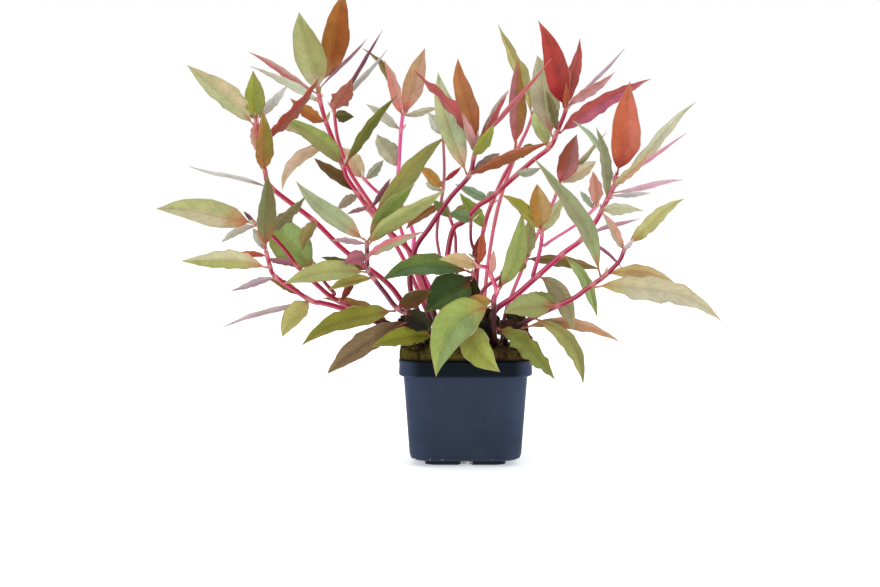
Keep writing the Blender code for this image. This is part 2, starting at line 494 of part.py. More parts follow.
def make_soil(collection):
    low_half = BODY_LOW_HALF - WALL - GAP
    top_half = BODY_TOP_HALF - WALL - GAP
    floor = FOOT_HEIGHT + 2 * WALL + GAP
    profile = [
        (BODY_LOW_HALF - 3 * MM - 2 * GAP, floor), (low_half, FOOT_HEIGHT + 5 * MM + GAP),
        (top_half, POT_HEIGHT - RIM_BAND), (top_half + 2.6 * MM, POT_HEIGHT + 0.4 * MM),
        (SOIL_HALF, POT_HEIGHT + 0.4 * MM), (SOIL_HALF, POT_HEIGHT + 1 * MM),
    ]
    bm = lathe_square(profile)
    bm.faces.ensure_lookup_table()
    top = max(bm.faces, key=lambda face: face.calc_center_median().z)
    half, z = profile[-1]
    for ring in range(SOIL_RINGS):
        new_half = half - (SHOULDER if ring == 0 else 13 * MM)
        top = raise_face(bm, top, half, z, new_half, z)
        half = new_half
    for vert in bm.verts:
        if vert.co.z > POT_HEIGHT + 0.7 * MM:
            at_edge = max(abs(vert.co.x), abs(vert.co.y)) > SOIL_HALF - 0.1 * MM
            vert.co.z = soil_height(vert.co.x, vert.co.y) - (SHOULDER / 2 if at_edge else 0)
    bmesh.ops.triangulate(bm, faces=bm.faces[:])
    soil = object_from(bm, "soil_plug", collection, material("soil", 0.95))
    sockets = new_collection("socket_cutters", True)
    bm = bmesh.new()
    for stem in STEMS:
        if stem.root is None:
            continue
        radius = stem.thick[0] / 2 * MM + SOCKET_CLEAR
        made = bmesh.ops.create_cone(
            bm, cap_ends=True, cap_tris=False, segments=5, radius1=radius * 1.2,
            radius2=radius * 1.2, depth=4 * SOCKET_DEPTH,
        )["verts"]
        x, y = stem.root[0] * MM, stem.root[1] * MM
        z = SOIL_TOP - SOCKET_DEPTH - GAP + 2 * SOCKET_DEPTH
        bmesh.ops.translate(bm, vec=(x, y, z), verts=made)
    hide_helper(object_from(bm, "sockets", sockets, material("soil", 0.95)))
    boolean(soil, "DIFFERENCE", sockets)
    return soil


def route_spot(place):
    """A place of a stem's route as a point, with the bush as deep as DEPTH_SPREAD makes it."""
    column, row, behind = place
    return spot(column, row, behind * DEPTH_SPREAD)


def real_bends(points):
    """The points without those that lie almost on the straight line past them."""
    kept = [points[0]]
    for point, after in zip(points[1:], points[2:]):
        line = (after - kept[-1]).normalized()
        if (point - kept[-1]).cross(line).length > SLIGHT_BEND:
            kept.append(point)
    return kept + [points[-1]]


def route_of(stem):
    """The stem's points in space, from inside the soil where it is rooted there."""
    points = real_bends([route_spot(place) for place in stem.route])
    if stem.root is None:
        return points
    x, y = stem.root[0] * MM, stem.root[1] * MM
    foot = Vector((x, y, SOIL_TOP - SOCKET_DEPTH))
    neck = Vector((x, y, SOIL_TOP + 3.5 * MM))
    return [foot, neck] + points


def half_width(stem, share):
    low, high = stem.thick
    return (low + (high - low) * share) / 2 * MM


def make_stem(stem, collection):
    """A tapering tube along the route."""
    points = route_of(stem)
    curve = bpy.data.curves.new(stem.name, "CURVE")
    curve.dimensions = "3D"
    curve.bevel_depth = 1
    curve.bevel_resolution = STEM_SIDES
    curve.use_fill_caps = True
    spline = curve.splines.new("POLY")
    spline.points.add(len(points) - 1)
    for index, point in enumerate(points):
        spline.points[index].co = (*point, 1)
        spline.points[index].radius = half_width(stem, index / (len(points) - 1))
    guide = bpy.data.objects.new(stem.name + "_guide", curve)
    bpy.context.scene.collection.objects.link(guide)
    bpy.context.view_layer.update()
    evaluated = guide.evaluated_get(bpy.context.evaluated_depsgraph_get())
    mesh = bpy.data.meshes.new_from_object(evaluated)
    bm = bmesh.new()
    bm.from_mesh(mesh)
    bmesh.ops.remove_doubles(bm, verts=bm.verts[:], dist=0.01 * MM)
    bpy.data.objects.remove(guide, do_unlink=True)
    bpy.data.meshes.remove(mesh)
    return object_from(bm, stem.name, collection, material("stem", 0.4), smooth=True)


def nearest_on(stem, column, row):
    """The stem's point, direction and half width where it is seen nearest to this place, and
    whether that is its top end."""
    route = stem.route
    best = None
    for index in range(len(route) - 1):
        start, end = Vector(route[index][:2]), Vector(route[index + 1][:2])
        along = end - start
        share = (Vector((column, row)) - start).dot(along) / along.length_squared
        share = min(max(share, 0), 1)
        distance = (start + along * share - Vector((column, row))).length
        if best is None or distance < best[0]:
            best = (distance, index, share)
    _, index, share = best
    low, high = route_spot(route[index]), route_spot(route[index + 1])
    extra = 0 if stem.root is None else 2
    place = (index + share + extra) / (len(route) - 1 + extra)
    at_end = index == len(route) - 2 and share > 0.95
    return low.lerp(high, share), (high - low).normalized(), half_width(stem, place), at_end


def stalk_start(stem, leaf, tip):
    """Where the leaf's stalk starts: in the stem's middle, or clear of it for a leaf of its own."""
    point, along, radius, at_end = nearest_on(stem, *leaf.at)
    if not leaf.own:
        return point - along * (END_SET_BACK if at_end else 0)
    out = tip - point
    if not at_end:
        out -= along * out.dot(along)
    return point + out.normalized() * (radius + STALK_CLEAR)


def blade_share(u):
    """The blade's half width along its length, as a share of its widest."""
    at = BASE_POWER / (BASE_POWER + TIP_POWER)
    widest = at ** BASE_POWER * (1 - at) ** TIP_POWER
    return u ** BASE_POWER * (1 - u) ** TIP_POWER / widest


def bar_of_four(steps):
    """A closed bar whose sections are diamonds, one a unit above the other."""
    bm = bmesh.new()
    bmesh.ops.create_circle(bm, cap_ends=True, segments=4, radius=1)
    bm.faces.ensure_lookup_table()
    face = bm.faces[0]
    for step in range(steps):
        face = drawn_on(bm, face, keep=step == 0)
        bmesh.ops.translate(bm, vec=(0, 0, 1), verts=list(face.verts))
    split_walls(bm)
    return bm


def split_walls(bm):
    """Cuts each wall of the bar from its side edge below to its ridge above. Both faces of the
    blade then bend along the same lines, so the thin blade never cuts through itself."""
    for wall in bm.faces[:]:
        low = min(vert.co.z for vert in wall.verts)
        high = max(vert.co.z for vert in wall.verts)
        if high - low < 0.5:
            continue
        sides = [vert for vert in wall.verts if abs(vert.co.x) > 0.5]
        ridge = [vert for vert in wall.verts if abs(vert.co.y) > 0.5]
        start = min(sides, key=lambda vert: vert.co.z)
        end = max(ridge, key=lambda vert: vert.co.z)
        bmesh.utils.face_split(wall, start, end)


def make_leaf(stem, leaf, collection):
    """A pointed blade folded a little along its midrib, which bends from stalk to tip."""
    middle = nearest_on(stem, *leaf.at)[0]
    behind = middle.y / MM
    tip = spot(*leaf.tip, behind + leaf.reach * REACH_SPREAD)
    start = stalk_start(stem, leaf, tip)
    chord = tip - start
    view = Vector((0, 1, 0))
    above = chord.cross(view).normalized()
    if above.z < 0:
        above = -above
    face = above.cross(chord).normalized()
    if face.y > 0:
        face = -face
    lift = above * (leaf.bow * MM) + face * (chord.length * LEAF_LIFT)
    control = (start + tip) / 2 + lift * 2
    steps = LARGE_LEAF_STEPS if leaf.own else SMALL_LEAF_STEPS
    bm = bar_of_four(steps)
    turn = math.radians(leaf.turn)

    def frame(along):
        """Directions across the blade and out of its face, where the midrib runs like this."""
        flat = along.cross(view).normalized()
        across = flat * math.cos(turn) + along.cross(flat) * math.sin(turn)
        return across, across.cross(along)

    front = -1 if frame(chord.normalized())[1].y > 0 else 1
    for vert in bm.verts:
        side, level, step = vert.co.x, vert.co.y, round(vert.co.z)
        u = max(0, (step - 1) / (steps - 1))
        t = 0 if step == 0 else STALK_SHARE + (1 - STALK_SHARE) * u
        point = start.lerp(control, t).lerp(control.lerp(tip, t), t)
        across, facing = frame((control - start).lerp(tip - control, t).normalized())
        least = TIP_HALF if step == steps else STALK_HALF
        half = max(leaf.width / 2 * MM * blade_share(u), least)
        fold = half * LEAF_FOLD * abs(side) if 0 < u < 1 else 0
        thick = level * LEAF_THICKNESS / 2
        vert.co = point + across * (side * half) + facing * (front * (fold + thick))
    name = "leaf_" + leaf.name
    return object_from(bm, name, collection, material(leaf.colour, 0.45), smooth=True)


def make_plant(collection):
    for stem in STEMS:
        made = make_stem(stem, collection)
        small = [leaf for leaf in stem.leaves if not leaf.own]
        if small:
            grown = new_collection("grown_on_" + stem.name, True)
            for leaf in small:
                hide_helper(make_leaf(stem, leaf, grown))
            boolean(made, "UNION", grown)
        for leaf in stem.leaves:
            if leaf.own:
                make_leaf(stem, leaf, collection)


def main():
    clear_scene()
    plant = new_collection(NAME)
    make_pot(plant)
    make_soil(plant)
    make_plant(plant)


main()
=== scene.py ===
# %% [markdown]
# # A potted alternanthera reineckii
#
# This lesson dresses a plain solid model of a potted aquarium plant: crimson stems that spread from a
# square nursery pot, with pointed leaves from green and bronze to red. The solids give every place and
# size. We make finer pieces over them with mesh operators, give each a material made of nodes, and set
# up a pale studio. Lengths are in metres, +Z is up and the viewer looks along +Y.

import math
import random
from typing import NamedTuple

import bmesh
import bpy
from mathutils import Matrix, Vector, noise


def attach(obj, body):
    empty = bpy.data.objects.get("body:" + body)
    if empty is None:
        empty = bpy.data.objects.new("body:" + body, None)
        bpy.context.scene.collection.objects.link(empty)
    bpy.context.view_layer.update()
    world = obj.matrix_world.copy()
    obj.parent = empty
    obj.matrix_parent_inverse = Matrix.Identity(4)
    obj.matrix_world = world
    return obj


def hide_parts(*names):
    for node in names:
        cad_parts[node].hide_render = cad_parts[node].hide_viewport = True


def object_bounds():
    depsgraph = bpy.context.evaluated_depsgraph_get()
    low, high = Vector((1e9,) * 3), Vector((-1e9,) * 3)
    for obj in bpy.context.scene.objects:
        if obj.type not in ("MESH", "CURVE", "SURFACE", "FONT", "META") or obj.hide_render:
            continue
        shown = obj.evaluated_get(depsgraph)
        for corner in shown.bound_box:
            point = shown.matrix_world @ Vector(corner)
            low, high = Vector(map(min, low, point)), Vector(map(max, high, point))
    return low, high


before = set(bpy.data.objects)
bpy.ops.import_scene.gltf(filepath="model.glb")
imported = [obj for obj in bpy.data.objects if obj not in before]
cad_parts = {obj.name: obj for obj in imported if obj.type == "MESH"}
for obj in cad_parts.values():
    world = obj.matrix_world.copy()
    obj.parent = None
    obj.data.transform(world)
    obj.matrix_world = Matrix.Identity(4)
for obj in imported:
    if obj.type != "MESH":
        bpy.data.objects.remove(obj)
CAD_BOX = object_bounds()
MM = 0.001
print(len(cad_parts), "solids, in the box", CAD_BOX)

# %% [markdown]
# ## The camera
#
# The picture was taken from a little above and from about a metre and a half away, with a long lens,
# so the pot shows hardly any of its top. The camera comes first, because the plant's stems and leaves
# are placed by the column and row where they are seen in it, in a picture 880 wide and 587 high.

# %% The camera
VIEW_DISTANCE = 1.53
VIEW_TILT = math.radians(4)
VIEW_LENGTH = 2216  # the lens's focal length, in columns of the picture
VIEW_SIZE = (880, 587)
FOOT_AT = (465, 459)  # where the middle of the pot's foot is seen
SENSOR = 36
NEAREST_SEEN = 0.05

AHEAD = Vector((0, math.cos(VIEW_TILT), -math.sin(VIEW_TILT)))
UP = Vector((0, math.sin(VIEW_TILT), math.cos(VIEW_TILT)))


def ray(column, row):
    """The direction in which this column and row of the picture is seen."""
    across, down = column - VIEW_SIZE[0] / 2, row - VIEW_SIZE[1] / 2
    return AHEAD * VIEW_LENGTH + Vector((across, 0, 0)) - UP * down


EYE = -ray(*FOOT_AT) * (VIEW_DISTANCE / VIEW_LENGTH)

lens = bpy.data.cameras.new("portrait_lens")
lens.sensor_width = SENSOR
lens.lens = VIEW_LENGTH / VIEW_SIZE[0] * SENSOR
lens.clip_start = NEAREST_SEEN
camera = bpy.data.objects.new("portrait_camera", lens)
camera.location = EYE
camera.rotation_euler = (math.pi / 2 - VIEW_TILT, 0, 0)
bpy.context.scene.collection.objects.link(camera)
bpy.context.scene.camera = camera
print("the camera stands at", tuple(round(x, 3) for x in EYE), "with a lens of", round(lens.lens, 1))

# %% [markdown]
# ## Writing materials as sums
#
# A material is a chart of small boxes with wires between them. Long charts are hard to read, so the
# class below lets us write `1 - mask * 0.5` and adds the Math boxes by itself. Everything that isn't
# arithmetic goes through one method, `add`, that takes a box's type, its settings and its inputs.

# %% A small language for node trees
COLOUR_SETTINGS = {"data_type": "RGBA", "clamp_factor": True}
MIX_SHARE, MIX_FIRST, MIX_SECOND, MIXED = 0, 6, 7, 2  # a Mix box's sockets for colours


def to_linear(colour):
    """A colour of 0 to 255, as a picture stores it, turned into the light that it stands for."""
    shares = [part / 255 for part in colour]
    return tuple(c / 12.92 if c < 0.04045 else ((c + 0.055) / 1.055) ** 2.4 for c in shares)


class Wire:
    """An output socket that takes part in arithmetic."""

    def __init__(self, chart, socket):
        self.chart, self.socket = chart, socket

    def math(self, operation, *others):
        inputs = dict(enumerate((self,) + others))
        return self.chart.add("ShaderNodeMath", {"operation": operation}, inputs).out(0)

    def __add__(self, other):
        return self.math("ADD", other)

    def __sub__(self, other):
        return self.math("SUBTRACT", other)

    def __rsub__(self, other):
        return self.math("MULTIPLY", -1) + other

    def __mul__(self, other):
        return self.math("MULTIPLY", other)

    __radd__ = __add__

    def __abs__(self):
        return self.math("ABSOLUTE")

    def fract(self):
        return self.math("FRACT")

    def held(self):
        """The same value, kept between 0 and 1."""
        return self.chart.add("ShaderNodeClamp", {}, {"Value": self}).out(0)

    def ramp(self, low, high):
        """0 below low, 1 above high, and a soft rise between them."""
        settings = {"interpolation_type": "SMOOTHSTEP"}
        inputs = {"Value": self, "From Min": low, "From Max": high}
        return self.chart.add("ShaderNodeMapRange", settings, inputs).out("Result")


class Box:
    """One node of the chart, whose outputs come out as wires."""

    def __init__(self, chart, node):
        self.chart, self.node = chart, node

    def out(self, name):
        return Wire(self.chart, self.node.outputs[name])


class Chart:
    """A material's node tree, with its Principled shader ready to be fed."""

    def __init__(self, name, **constants):
        self.material = bpy.data.materials.new(name)
        self.material.use_nodes = True
        self.tree = self.material.node_tree
        self.shader = self.tree.nodes["Principled BSDF"]
        for socket, value in constants.items():
            self.shader.inputs[socket.replace("_", " ")].default_value = value

    def add(self, kind, settings, inputs):
        node = self.tree.nodes.new(kind)
        for key, value in settings.items():
            setattr(node, key, value)
        for key, value in inputs.items():
            self.give(node.inputs[key], value)
        return Box(self, node)

    def give(self, socket, value):
        if isinstance(value, Wire):
            self.tree.links.new(value.socket, socket)
        elif isinstance(value, tuple) and len(value) == 3 and socket.type == "RGBA":
            socket.default_value = (*value, 1)
        else:
            socket.default_value = value

    def feed(self, name, value):
        self.give(self.shader.inputs[name], value)

    def mix(self, share, one, other, blend="MIX"):
        """Two colours mixed: the first where the share is 0, the other where it is 1."""
        settings = dict(COLOUR_SETTINGS, blend_type=blend)
        inputs = {MIX_SHARE: share, MIX_FIRST: one, MIX_SECOND: other}
        return self.add("ShaderNodeMix", settings, inputs).out(MIXED)

    def darkened(self, colour, shade):
        """The colour times a shade of 0 to 1."""
        grey = self.add("ShaderNodeCombineColor", {}, {0: shade, 1: shade, 2: shade}).out(0)
        return self.mix(1.0, colour, grey, "MULTIPLY")

    def place(self):
        return self.add("ShaderNodeTexCoord", {}, {}).out("Object")

    def grain(self, scale, detail=2.0, place=None):
        """Soft cloudy noise from 0 to 1, with so many lumps to the metre."""
        inputs = {"Vector": place or self.place(), "Scale": scale, "Detail": detail}
        return self.add("ShaderNodeTexNoise", {}, inputs).out("Fac")

    def attribute(self, name, output="Color"):
        settings = {"attribute_type": "GEOMETRY", "attribute_name": name}
        return self.add("ShaderNodeAttribute", settings, {}).out(output)

    def relief(self, height, depth, strength=1.0):
        """Feeds the shader's normal from a height of 0 to 1 that is so many metres deep."""
        inputs = {"Height": height, "Distance": depth, "Strength": strength}
        self.feed("Normal", self.add("ShaderNodeBump", {}, inputs).out("Normal"))


print("the chart's class is ready")

# %% [markdown]
# ## The plan of the plant
#
# Stems and leaves are laid out one by one, as a florist would note them from the picture. A stem has
# its place in the soil, its width at both ends and a route. A leaf has the place of its stalk on the
# stem, its tip, its width and its two colours. Large leaves are pieces of their own.

# %% Stems and leaves, one by one
class Leaf(NamedTuple):
    """A leaf. Places are the column and row in the view; reach, width and bow are millimetres."""

    name: str
    at: tuple  # where its stalk leaves the stem
    tip: tuple
    reach: float  # how much further from the viewer the tip is than the stalk
    width: float  # across the blade
    turn: float  # degrees about its midrib, 0 with its face to the viewer
    bow: float  # how far its middle stands above the straight line to its tip
    # first and second hold each half's colour, partly its own and partly painted light and shade
    first: tuple  # the colour of its upper or left half, each part from 0 to 255
    second: tuple  # the colour of the other half
    wave: float = 0.8  # how wavy its margin is
    base: tuple = ()  # the colour that it has towards its stalk, where that differs
    own: str = ""  # not empty for a large leaf, which is a piece of its own; the word itself is not used


class Stem(NamedTuple):
    """A stem. root is its place in the soil, x and y in millimetres, or None where it forks off
    another stem. route is its column, its row and its millimetres behind the pot's middle."""

    name: str
    root: tuple
    thick: tuple  # its width in millimetres at the bottom and at the top
    route: list
    leaves: list


STEMS = [
    Stem("stem_left_upper", (-24, -4), (3.6, 2.4),
         [(422, 330, -6), (403, 303, -8), (385, 281, -10), (345, 251, -12), (313, 220, -16),
          (272, 188, -20), (265, 171, -22), (259, 141, -24), (256, 118, -25)],
         [Leaf("upper_left_beige", (257, 124), (187, 65), -10, 16, 20, 2,
               (206, 190, 148), (188, 188, 140), wave=0.9, base=(206, 200, 160), own="beige"),
          Leaf("upper_left_olive", (256, 118), (253, 70), -4, 14, 10, 0, (156, 164, 70), (144, 150, 72)),
          Leaf("upper_left_pale", (256, 118), (288, 85), 10, 8, 45, 0, (216, 220, 212), (200, 206, 192)),
          Leaf("upper_left_red", (260, 143), (322, 73), -8, 9.5, 45, -2,
               (172, 72, 58), (150, 84, 70), wave=1.4, own="red"),
          Leaf("left_upright_brown", (265, 171), (263, 110), -16, 13, 25, 0,
               (168, 122, 68), (142, 124, 54), base=(190, 132, 66)),
          Leaf("upper_left_salmon", (256, 121), (256, 152), 12, 8, 30, 0,
               (205, 150, 130), (150, 130, 70), base=(226, 130, 110)),
          Leaf("upper_left_bud", (256, 118), (245, 108), 4, 4, 30, 0, (130, 60, 60), (110, 50, 50)),
          Leaf("upper_left_grey", (256, 118), (222, 90), 12, 6, 50, 0, (185, 190, 165), (170, 170, 150)),
          Leaf("left_narrow_green", (272, 188), (189, 166), 8, 5, 60, 0,
               (204, 208, 200), (196, 196, 190), wave=0.5, base=(122, 84, 104)),
          Leaf("left_inner_brown", (313, 220), (302, 251), -10, 11, 35, 0,
               (152, 136, 80), (136, 122, 66))]),
    Stem("stem_left_middle", (-27, -14), (3.4, 2.2),
         [(420, 338, -17), (385, 322, -23), (338, 301, -29), (316, 284, -31), (297, 266, -33),
          (285, 250, -34), (269, 233, -36), (256, 224, -37)],
         [Leaf("left_long_tan", (256, 224), (156, 209), -10, 18, 15, 3,
               (184, 184, 126), (202, 190, 154), wave=0.6, base=(206, 116, 74), own="tan"),
          Leaf("left_grey_narrow", (256, 224), (221, 243), 12, 7, 40, 2,
               (204, 202, 186), (184, 182, 168), wave=0.6),
          Leaf("left_purple_bud", (256, 224), (243, 211), 6, 2.8, 0, 0, (124, 72, 86), (112, 66, 80)),
          Leaf("left_wavy_olive", (269, 233), (307, 195), -10, 10, 40, 0,
               (136, 126, 86), (118, 112, 72), wave=1.6),
          Leaf("left_purple_small", (297, 266), (268, 258), 8, 6, 40, 0, (172, 122, 124), (156, 98, 114)),
          Leaf("left_red_brown", (341, 302), (358, 268), 8, 6, 30, 0, (150, 70, 55), (125, 60, 45)),
          Leaf("low_left_bronze", (392, 324), (322, 298), 14, 9, 40, 4,
               (155, 112, 62), (140, 95, 55), base=(176, 130, 70))]),
    Stem("stem_left_fork", None, (2.4, 1.8),
         [(334, 293, -27), (326, 284, -23), (315, 268, -18)],
         [Leaf("left_round_green", (316, 269), (272, 213), 3, 26, 10, -3,
               (160, 184, 112), (148, 168, 90), wave=0.6, base=(120, 140, 60), own="green"),
          Leaf("left_fork_pale", (315, 268), (268, 246), 20, 9, 30, 2, (165, 170, 95), (150, 150, 80))]),
    Stem("stem_left_low", (-29, -24), (3.6, 2.3),
         [(418, 343, -28), (396, 330, -34), (343, 309, -42), (322, 303, -45), (310, 300, -46),
          (276, 277, -48), (270, 266, -48), (266, 251, -49)],
         [Leaf("left_upright_dark", (266, 251), (267, 172), -6, 14, 30, 0,
               (128, 132, 88), (124, 116, 72), wave=0.5, base=(150, 92, 52), own="dark_olive"),
          Leaf("left_pale_small", (266, 252), (253, 228), 8, 7, 30, 0, (195, 200, 185), (205, 160, 130)),
          Leaf("left_low_beige", (270, 266), (180, 261), -8, 13, 25, 3,
               (208, 200, 158), (174, 172, 104), wave=1.1, base=(206, 150, 116), own="beige"),
          Leaf("left_orange_bud", (267, 256), (236, 253), 6, 5, 40, 0, (205, 95, 70), (190, 85, 60)),
          Leaf("left_low_mauve", (276, 277), (230, 291), -6, 6, 40, 0,
               (200, 178, 186), (178, 150, 160), wave=1),
          Leaf("left_low_short", (306, 298), (268, 279), 8, 7, 45, 1, (165, 130, 65), (150, 115, 60)),
          Leaf("left_low_droop", (310, 300), (282, 337), -8, 14, 20, 2, (188, 182, 112), (174, 170, 102)),
          Leaf("left_low_long", (312, 300), (218, 330), 8, 5.4, 50, 2,
               (214, 190, 196), (200, 176, 184), wave=0.6, base=(190, 90, 60))]),
    Stem("stem_upper_left", (-13, 0), (3.6, 2.4),
         [(438, 325, 2), (425, 285, 6), (410, 252, 8), (395, 237, 10), (376, 218, 12),
          (358, 194, 14), (347, 178, 15), (343, 166, 16), (333, 140, 17), (326, 122, 18),
          (321, 105, 18), (318, 88, 18)],
         [Leaf("top_left_olive", (318, 92), (299, 12), -10, 21, 10, 0,
               (178, 182, 124), (166, 168, 106), wave=0.5, base=(220, 204, 176), own="olive"),
          Leaf("top_left_orange", (318, 88), (345, -8), 10, 19, 15, -2,
               (164, 104, 44), (150, 84, 36), wave=0.4, base=(204, 158, 118), own="orange"),
          Leaf("top_left_purple", (318, 90), (367, 39), 8, 4, 60, 0,
               (166, 118, 128), (156, 110, 120), wave=0.4),
          Leaf("top_left_red", (319, 95), (249, 52), 8, 7.5, 50, 0,
               (196, 150, 140), (184, 98, 102), wave=0.6),
          Leaf("top_left_grey", (320, 100), (250, 66), 16, 7, 55, 0, (190, 192, 175), (175, 175, 160)),
          Leaf("top_left_pale", (321, 103), (262, 69), -8, 9, 50, 0,
               (204, 212, 190), (190, 198, 172), wave=0.6),
          Leaf("upper_dark_narrow", (343, 166), (398, 95), -8, 9, 35, 3,
               (124, 128, 54), (108, 112, 50), wave=1, own="dark_olive"),
          Leaf("upper_olive_left", (343, 166), (279, 116), -10, 13, 20, 4,
               (158, 166, 92), (150, 150, 92)),
          Leaf("upper_beige_left", (334, 143), (272, 125), 10, 10, 40, 2,
               (205, 195, 150), (190, 175, 130)),
          Leaf("upper_orange_left", (326, 122), (290, 98), -6, 10, 30, -2,
               (185, 125, 60), (170, 105, 55), wave=1.2),
          Leaf("upper_salmon_drop", (334, 143), (282, 190), 8, 10, 30, 8,
               (220, 190, 162), (212, 182, 150)),
          Leaf("left_inner_dark", (357, 193), (314, 158), 10, 10, 35, 0, (120, 90, 45), (105, 85, 45)),
          Leaf("left_inner_drop", (358, 194), (336, 210), -5, 8, 35, 0, (160, 142, 120), (150, 136, 120)),
          Leaf("left_inner_purple", (368, 207), (347, 214), -5, 4, 40, 0,
               (170, 114, 126), (152, 100, 112)),
          Leaf("upper_centre_olive", (373, 214), (447, 136), -8, 15, 25, 2,
               (170, 166, 92), (154, 156, 90), wave=0.9, own="olive"),
          Leaf("upper_centre_purple", (370, 210), (391, 178), 8, 5, 40, 0,
               (158, 104, 118), (144, 90, 102))]),
    Stem("stem_upper_left_back", (-15, 12), (3.0, 2.0),
         [(430, 318, 18), (405, 262, 28), (378, 215, 33), (360, 188, 34), (350, 172, 35),
          (343, 155, 36), (337, 135, 37), (334, 108, 38)],
         [Leaf("upper_brick", (334, 108), (352, 78), -9, 14, 30, 0,
               (180, 112, 90), (176, 106, 88), wave=1.3, base=(214, 128, 112)),
          Leaf("upper_purple_narrow", (334, 108), (383, 30), 6, 5, 60, 0,
               (136, 84, 98), (122, 76, 88), wave=0.4),
          Leaf("upper_pale_narrow", (334, 110), (387, 50), 14, 5.5, 50, 0,
               (198, 198, 190), (180, 178, 172), wave=0.5),
          Leaf("upper_dark_small", (335, 115), (354, 117), -6, 9, 20, 0, (95, 95, 45), (85, 85, 40))]),
    Stem("stem_back_pink", (-7, 26), (3.2, 2.2),
         [(446, 318, 34), (425, 278, 46), (414, 250, 55), (413, 232, 59), (398, 195, 64),
          (399, 165, 66), (401, 130, 68), (403, 114, 68)],
         [Leaf("back_orange", (403, 114), (384, 60), -8, 10, 30, 0,
               (222, 142, 126), (218, 162, 144), base=(236, 122, 126)),
          Leaf("back_tan", (403, 114), (425, 48), 4, 15, 10, 0,
               (204, 162, 122), (204, 162, 134), base=(236, 132, 122)),
          Leaf("back_small", (403, 116), (438, 108), 4, 6, 30, 0, (205, 200, 170), (190, 185, 155)),
          Leaf("back_wavy", (403, 114), (362, 48), 10, 8, 40, 6,
               (135, 120, 75), (120, 105, 65), wave=1.5),
          Leaf("back_twig", (401, 130), (366, 104), 4, 8, 30, 0, (200, 200, 185), (190, 190, 170)),
          Leaf("back_grey", (399, 168), (377, 134), 8, 15, 20, 0, (192, 192, 162), (178, 180, 148))]),
    Stem("stem_back_left", (-20, 24), (2.8, 2.0),
         [(428, 308, 38), (406, 245, 68), (392, 205, 78), (375, 190, 80), (363, 178, 81)],
         [Leaf("back_left_beige", (363, 178), (342, 147), 4, 14, 15, 0, (210, 190, 150), (205, 165, 140)),
          Leaf("back_left_grey", (365, 180), (384, 160), 6, 8, 30, 0, (175, 185, 155), (160, 170, 140))]),
    Stem("stem_centre_dark", (-23, 5), (3.6, 2.4),
         [(422, 322, 0), (410, 285, -8), (415, 250, -12), (430, 227, -14), (450, 198, -16),
          (469, 176, -17), (474, 157, -18), (478, 141, -18)],
         [Leaf("centre_red_wavy", (477, 145), (414, 70), -8, 10.5, 45, 3,
               (182, 90, 84), (172, 94, 92), wave=1.8, own="red"),
          Leaf("centre_pale_large", (469, 176), (438, 72), 10, 17, 10, -2,
               (195, 206, 150), (190, 202, 160), wave=0.6, base=(208, 176, 146), own="pale_green"),
          Leaf("centre_orange_top", (478, 142), (458, 58), 10, 14, 15, -2,
               (176, 118, 70), (168, 108, 68)),
          Leaf("centre_grey_thin", (478, 141), (509, 90), 14, 4.5, 50, 2,
               (190, 190, 175), (175, 175, 160)),
          Leaf("centre_red_long", (478, 141), (552, 58), -4, 6, 55, 0,
               (204, 110, 114), (188, 98, 104), wave=0.5),
          Leaf("centre_red_short", (478, 141), (509, 91), 5, 6, 50, 0, (198, 96, 100), (186, 92, 96)),
          Leaf("centre_pink", (475, 153), (462, 112), -8, 8, 40, 0, (220, 160, 160), (200, 150, 140)),
          Leaf("centre_narrow_green", (478, 141), (500, 106), 12, 6, 40, 0,
               (185, 195, 150), (170, 180, 135)),
          Leaf("centre_olive", (474, 157), (494, 124), -9, 10, 30, 0, (155, 165, 60), (146, 150, 72)),
          Leaf("centre_grey_brown", (470, 174), (500, 153), 8, 10, 30, 0,
               (150, 130, 115), (135, 115, 100)),
          Leaf("centre_orange_long", (469, 176), (551, 142), -8, 10, 40, 2,
               (176, 104, 70), (154, 90, 54), wave=0.9),
          # painted shade: crown_left_shade is a near-black leaf that stands for shade in the crown
          Leaf("crown_left_shade", (421, 315), (404, 340), 2, 22, 10, 0,
               (44, 48, 30), (30, 30, 16), wave=1.2)]),
    Stem("stem_back_thin", (2, 17), (2.2, 1.7),
         [(450, 318, 26), (440, 258, 40), (437, 230, 44), (444, 180, 46), (443, 133, 46)],
         [Leaf("back_gold", (443, 187), (418, 166), -6, 9, 25, 0, (204, 156, 78), (196, 146, 74)),
          Leaf("back_red_arm", (444, 182), (462, 166), 4, 4, 30, 0, (190, 60, 70), (175, 55, 65)),
          Leaf("back_brown_drop", (440, 206), (405, 230), -6, 9, 35, 2, (146, 96, 50), (140, 92, 56)),
          Leaf("back_mint", (443, 192), (426, 182), 8, 7, 30, 0, (185, 200, 170), (170, 185, 155)),
          Leaf("back_pale_top", (443, 133), (428, 112), 2, 9, 20, 0,
               (202, 206, 188), (192, 198, 174), base=(206, 170, 146))]),
    Stem("stem_centre_right", (10, 8), (3.0, 2.2),
         [(476, 305, 13), (478, 262, 18), (484, 228, 22), (490, 208, 24), (503, 178, 26),
          (510, 165, 26), (515, 150, 27)],
         [Leaf("centre_right_mauve", (515, 150), (518, 56), -4, 13, 20, 0,
               (198, 128, 130), (172, 124, 68), wave=0.6, base=(206, 104, 110), own="mauve"),
          Leaf("centre_right_dark", (513, 157), (533, 145), 8, 8, 30, 0, (110, 110, 50), (95, 95, 45)),
          Leaf("centre_green", (484, 228), (460, 193), -6, 11, 30, 0, (148, 172, 78), (138, 160, 76)),
          Leaf("centre_blue_green", (492, 203), (455, 184), 8, 8, 35, 0,
               (134, 158, 126), (122, 144, 106)),
          # painted shade: crown_right_olive is near black, for the shade low in the crown
          Leaf("crown_right_olive", (476, 304), (503, 336), -4, 16, 20, 0, (48, 42, 20), (34, 30, 16))]),
    Stem("stem_right_upper", (-10, -10), (3.6, 2.4),
         [(450, 318, -9), (446, 275, -3), (452, 232, 2), (464, 221, 3), (478, 206, 5),
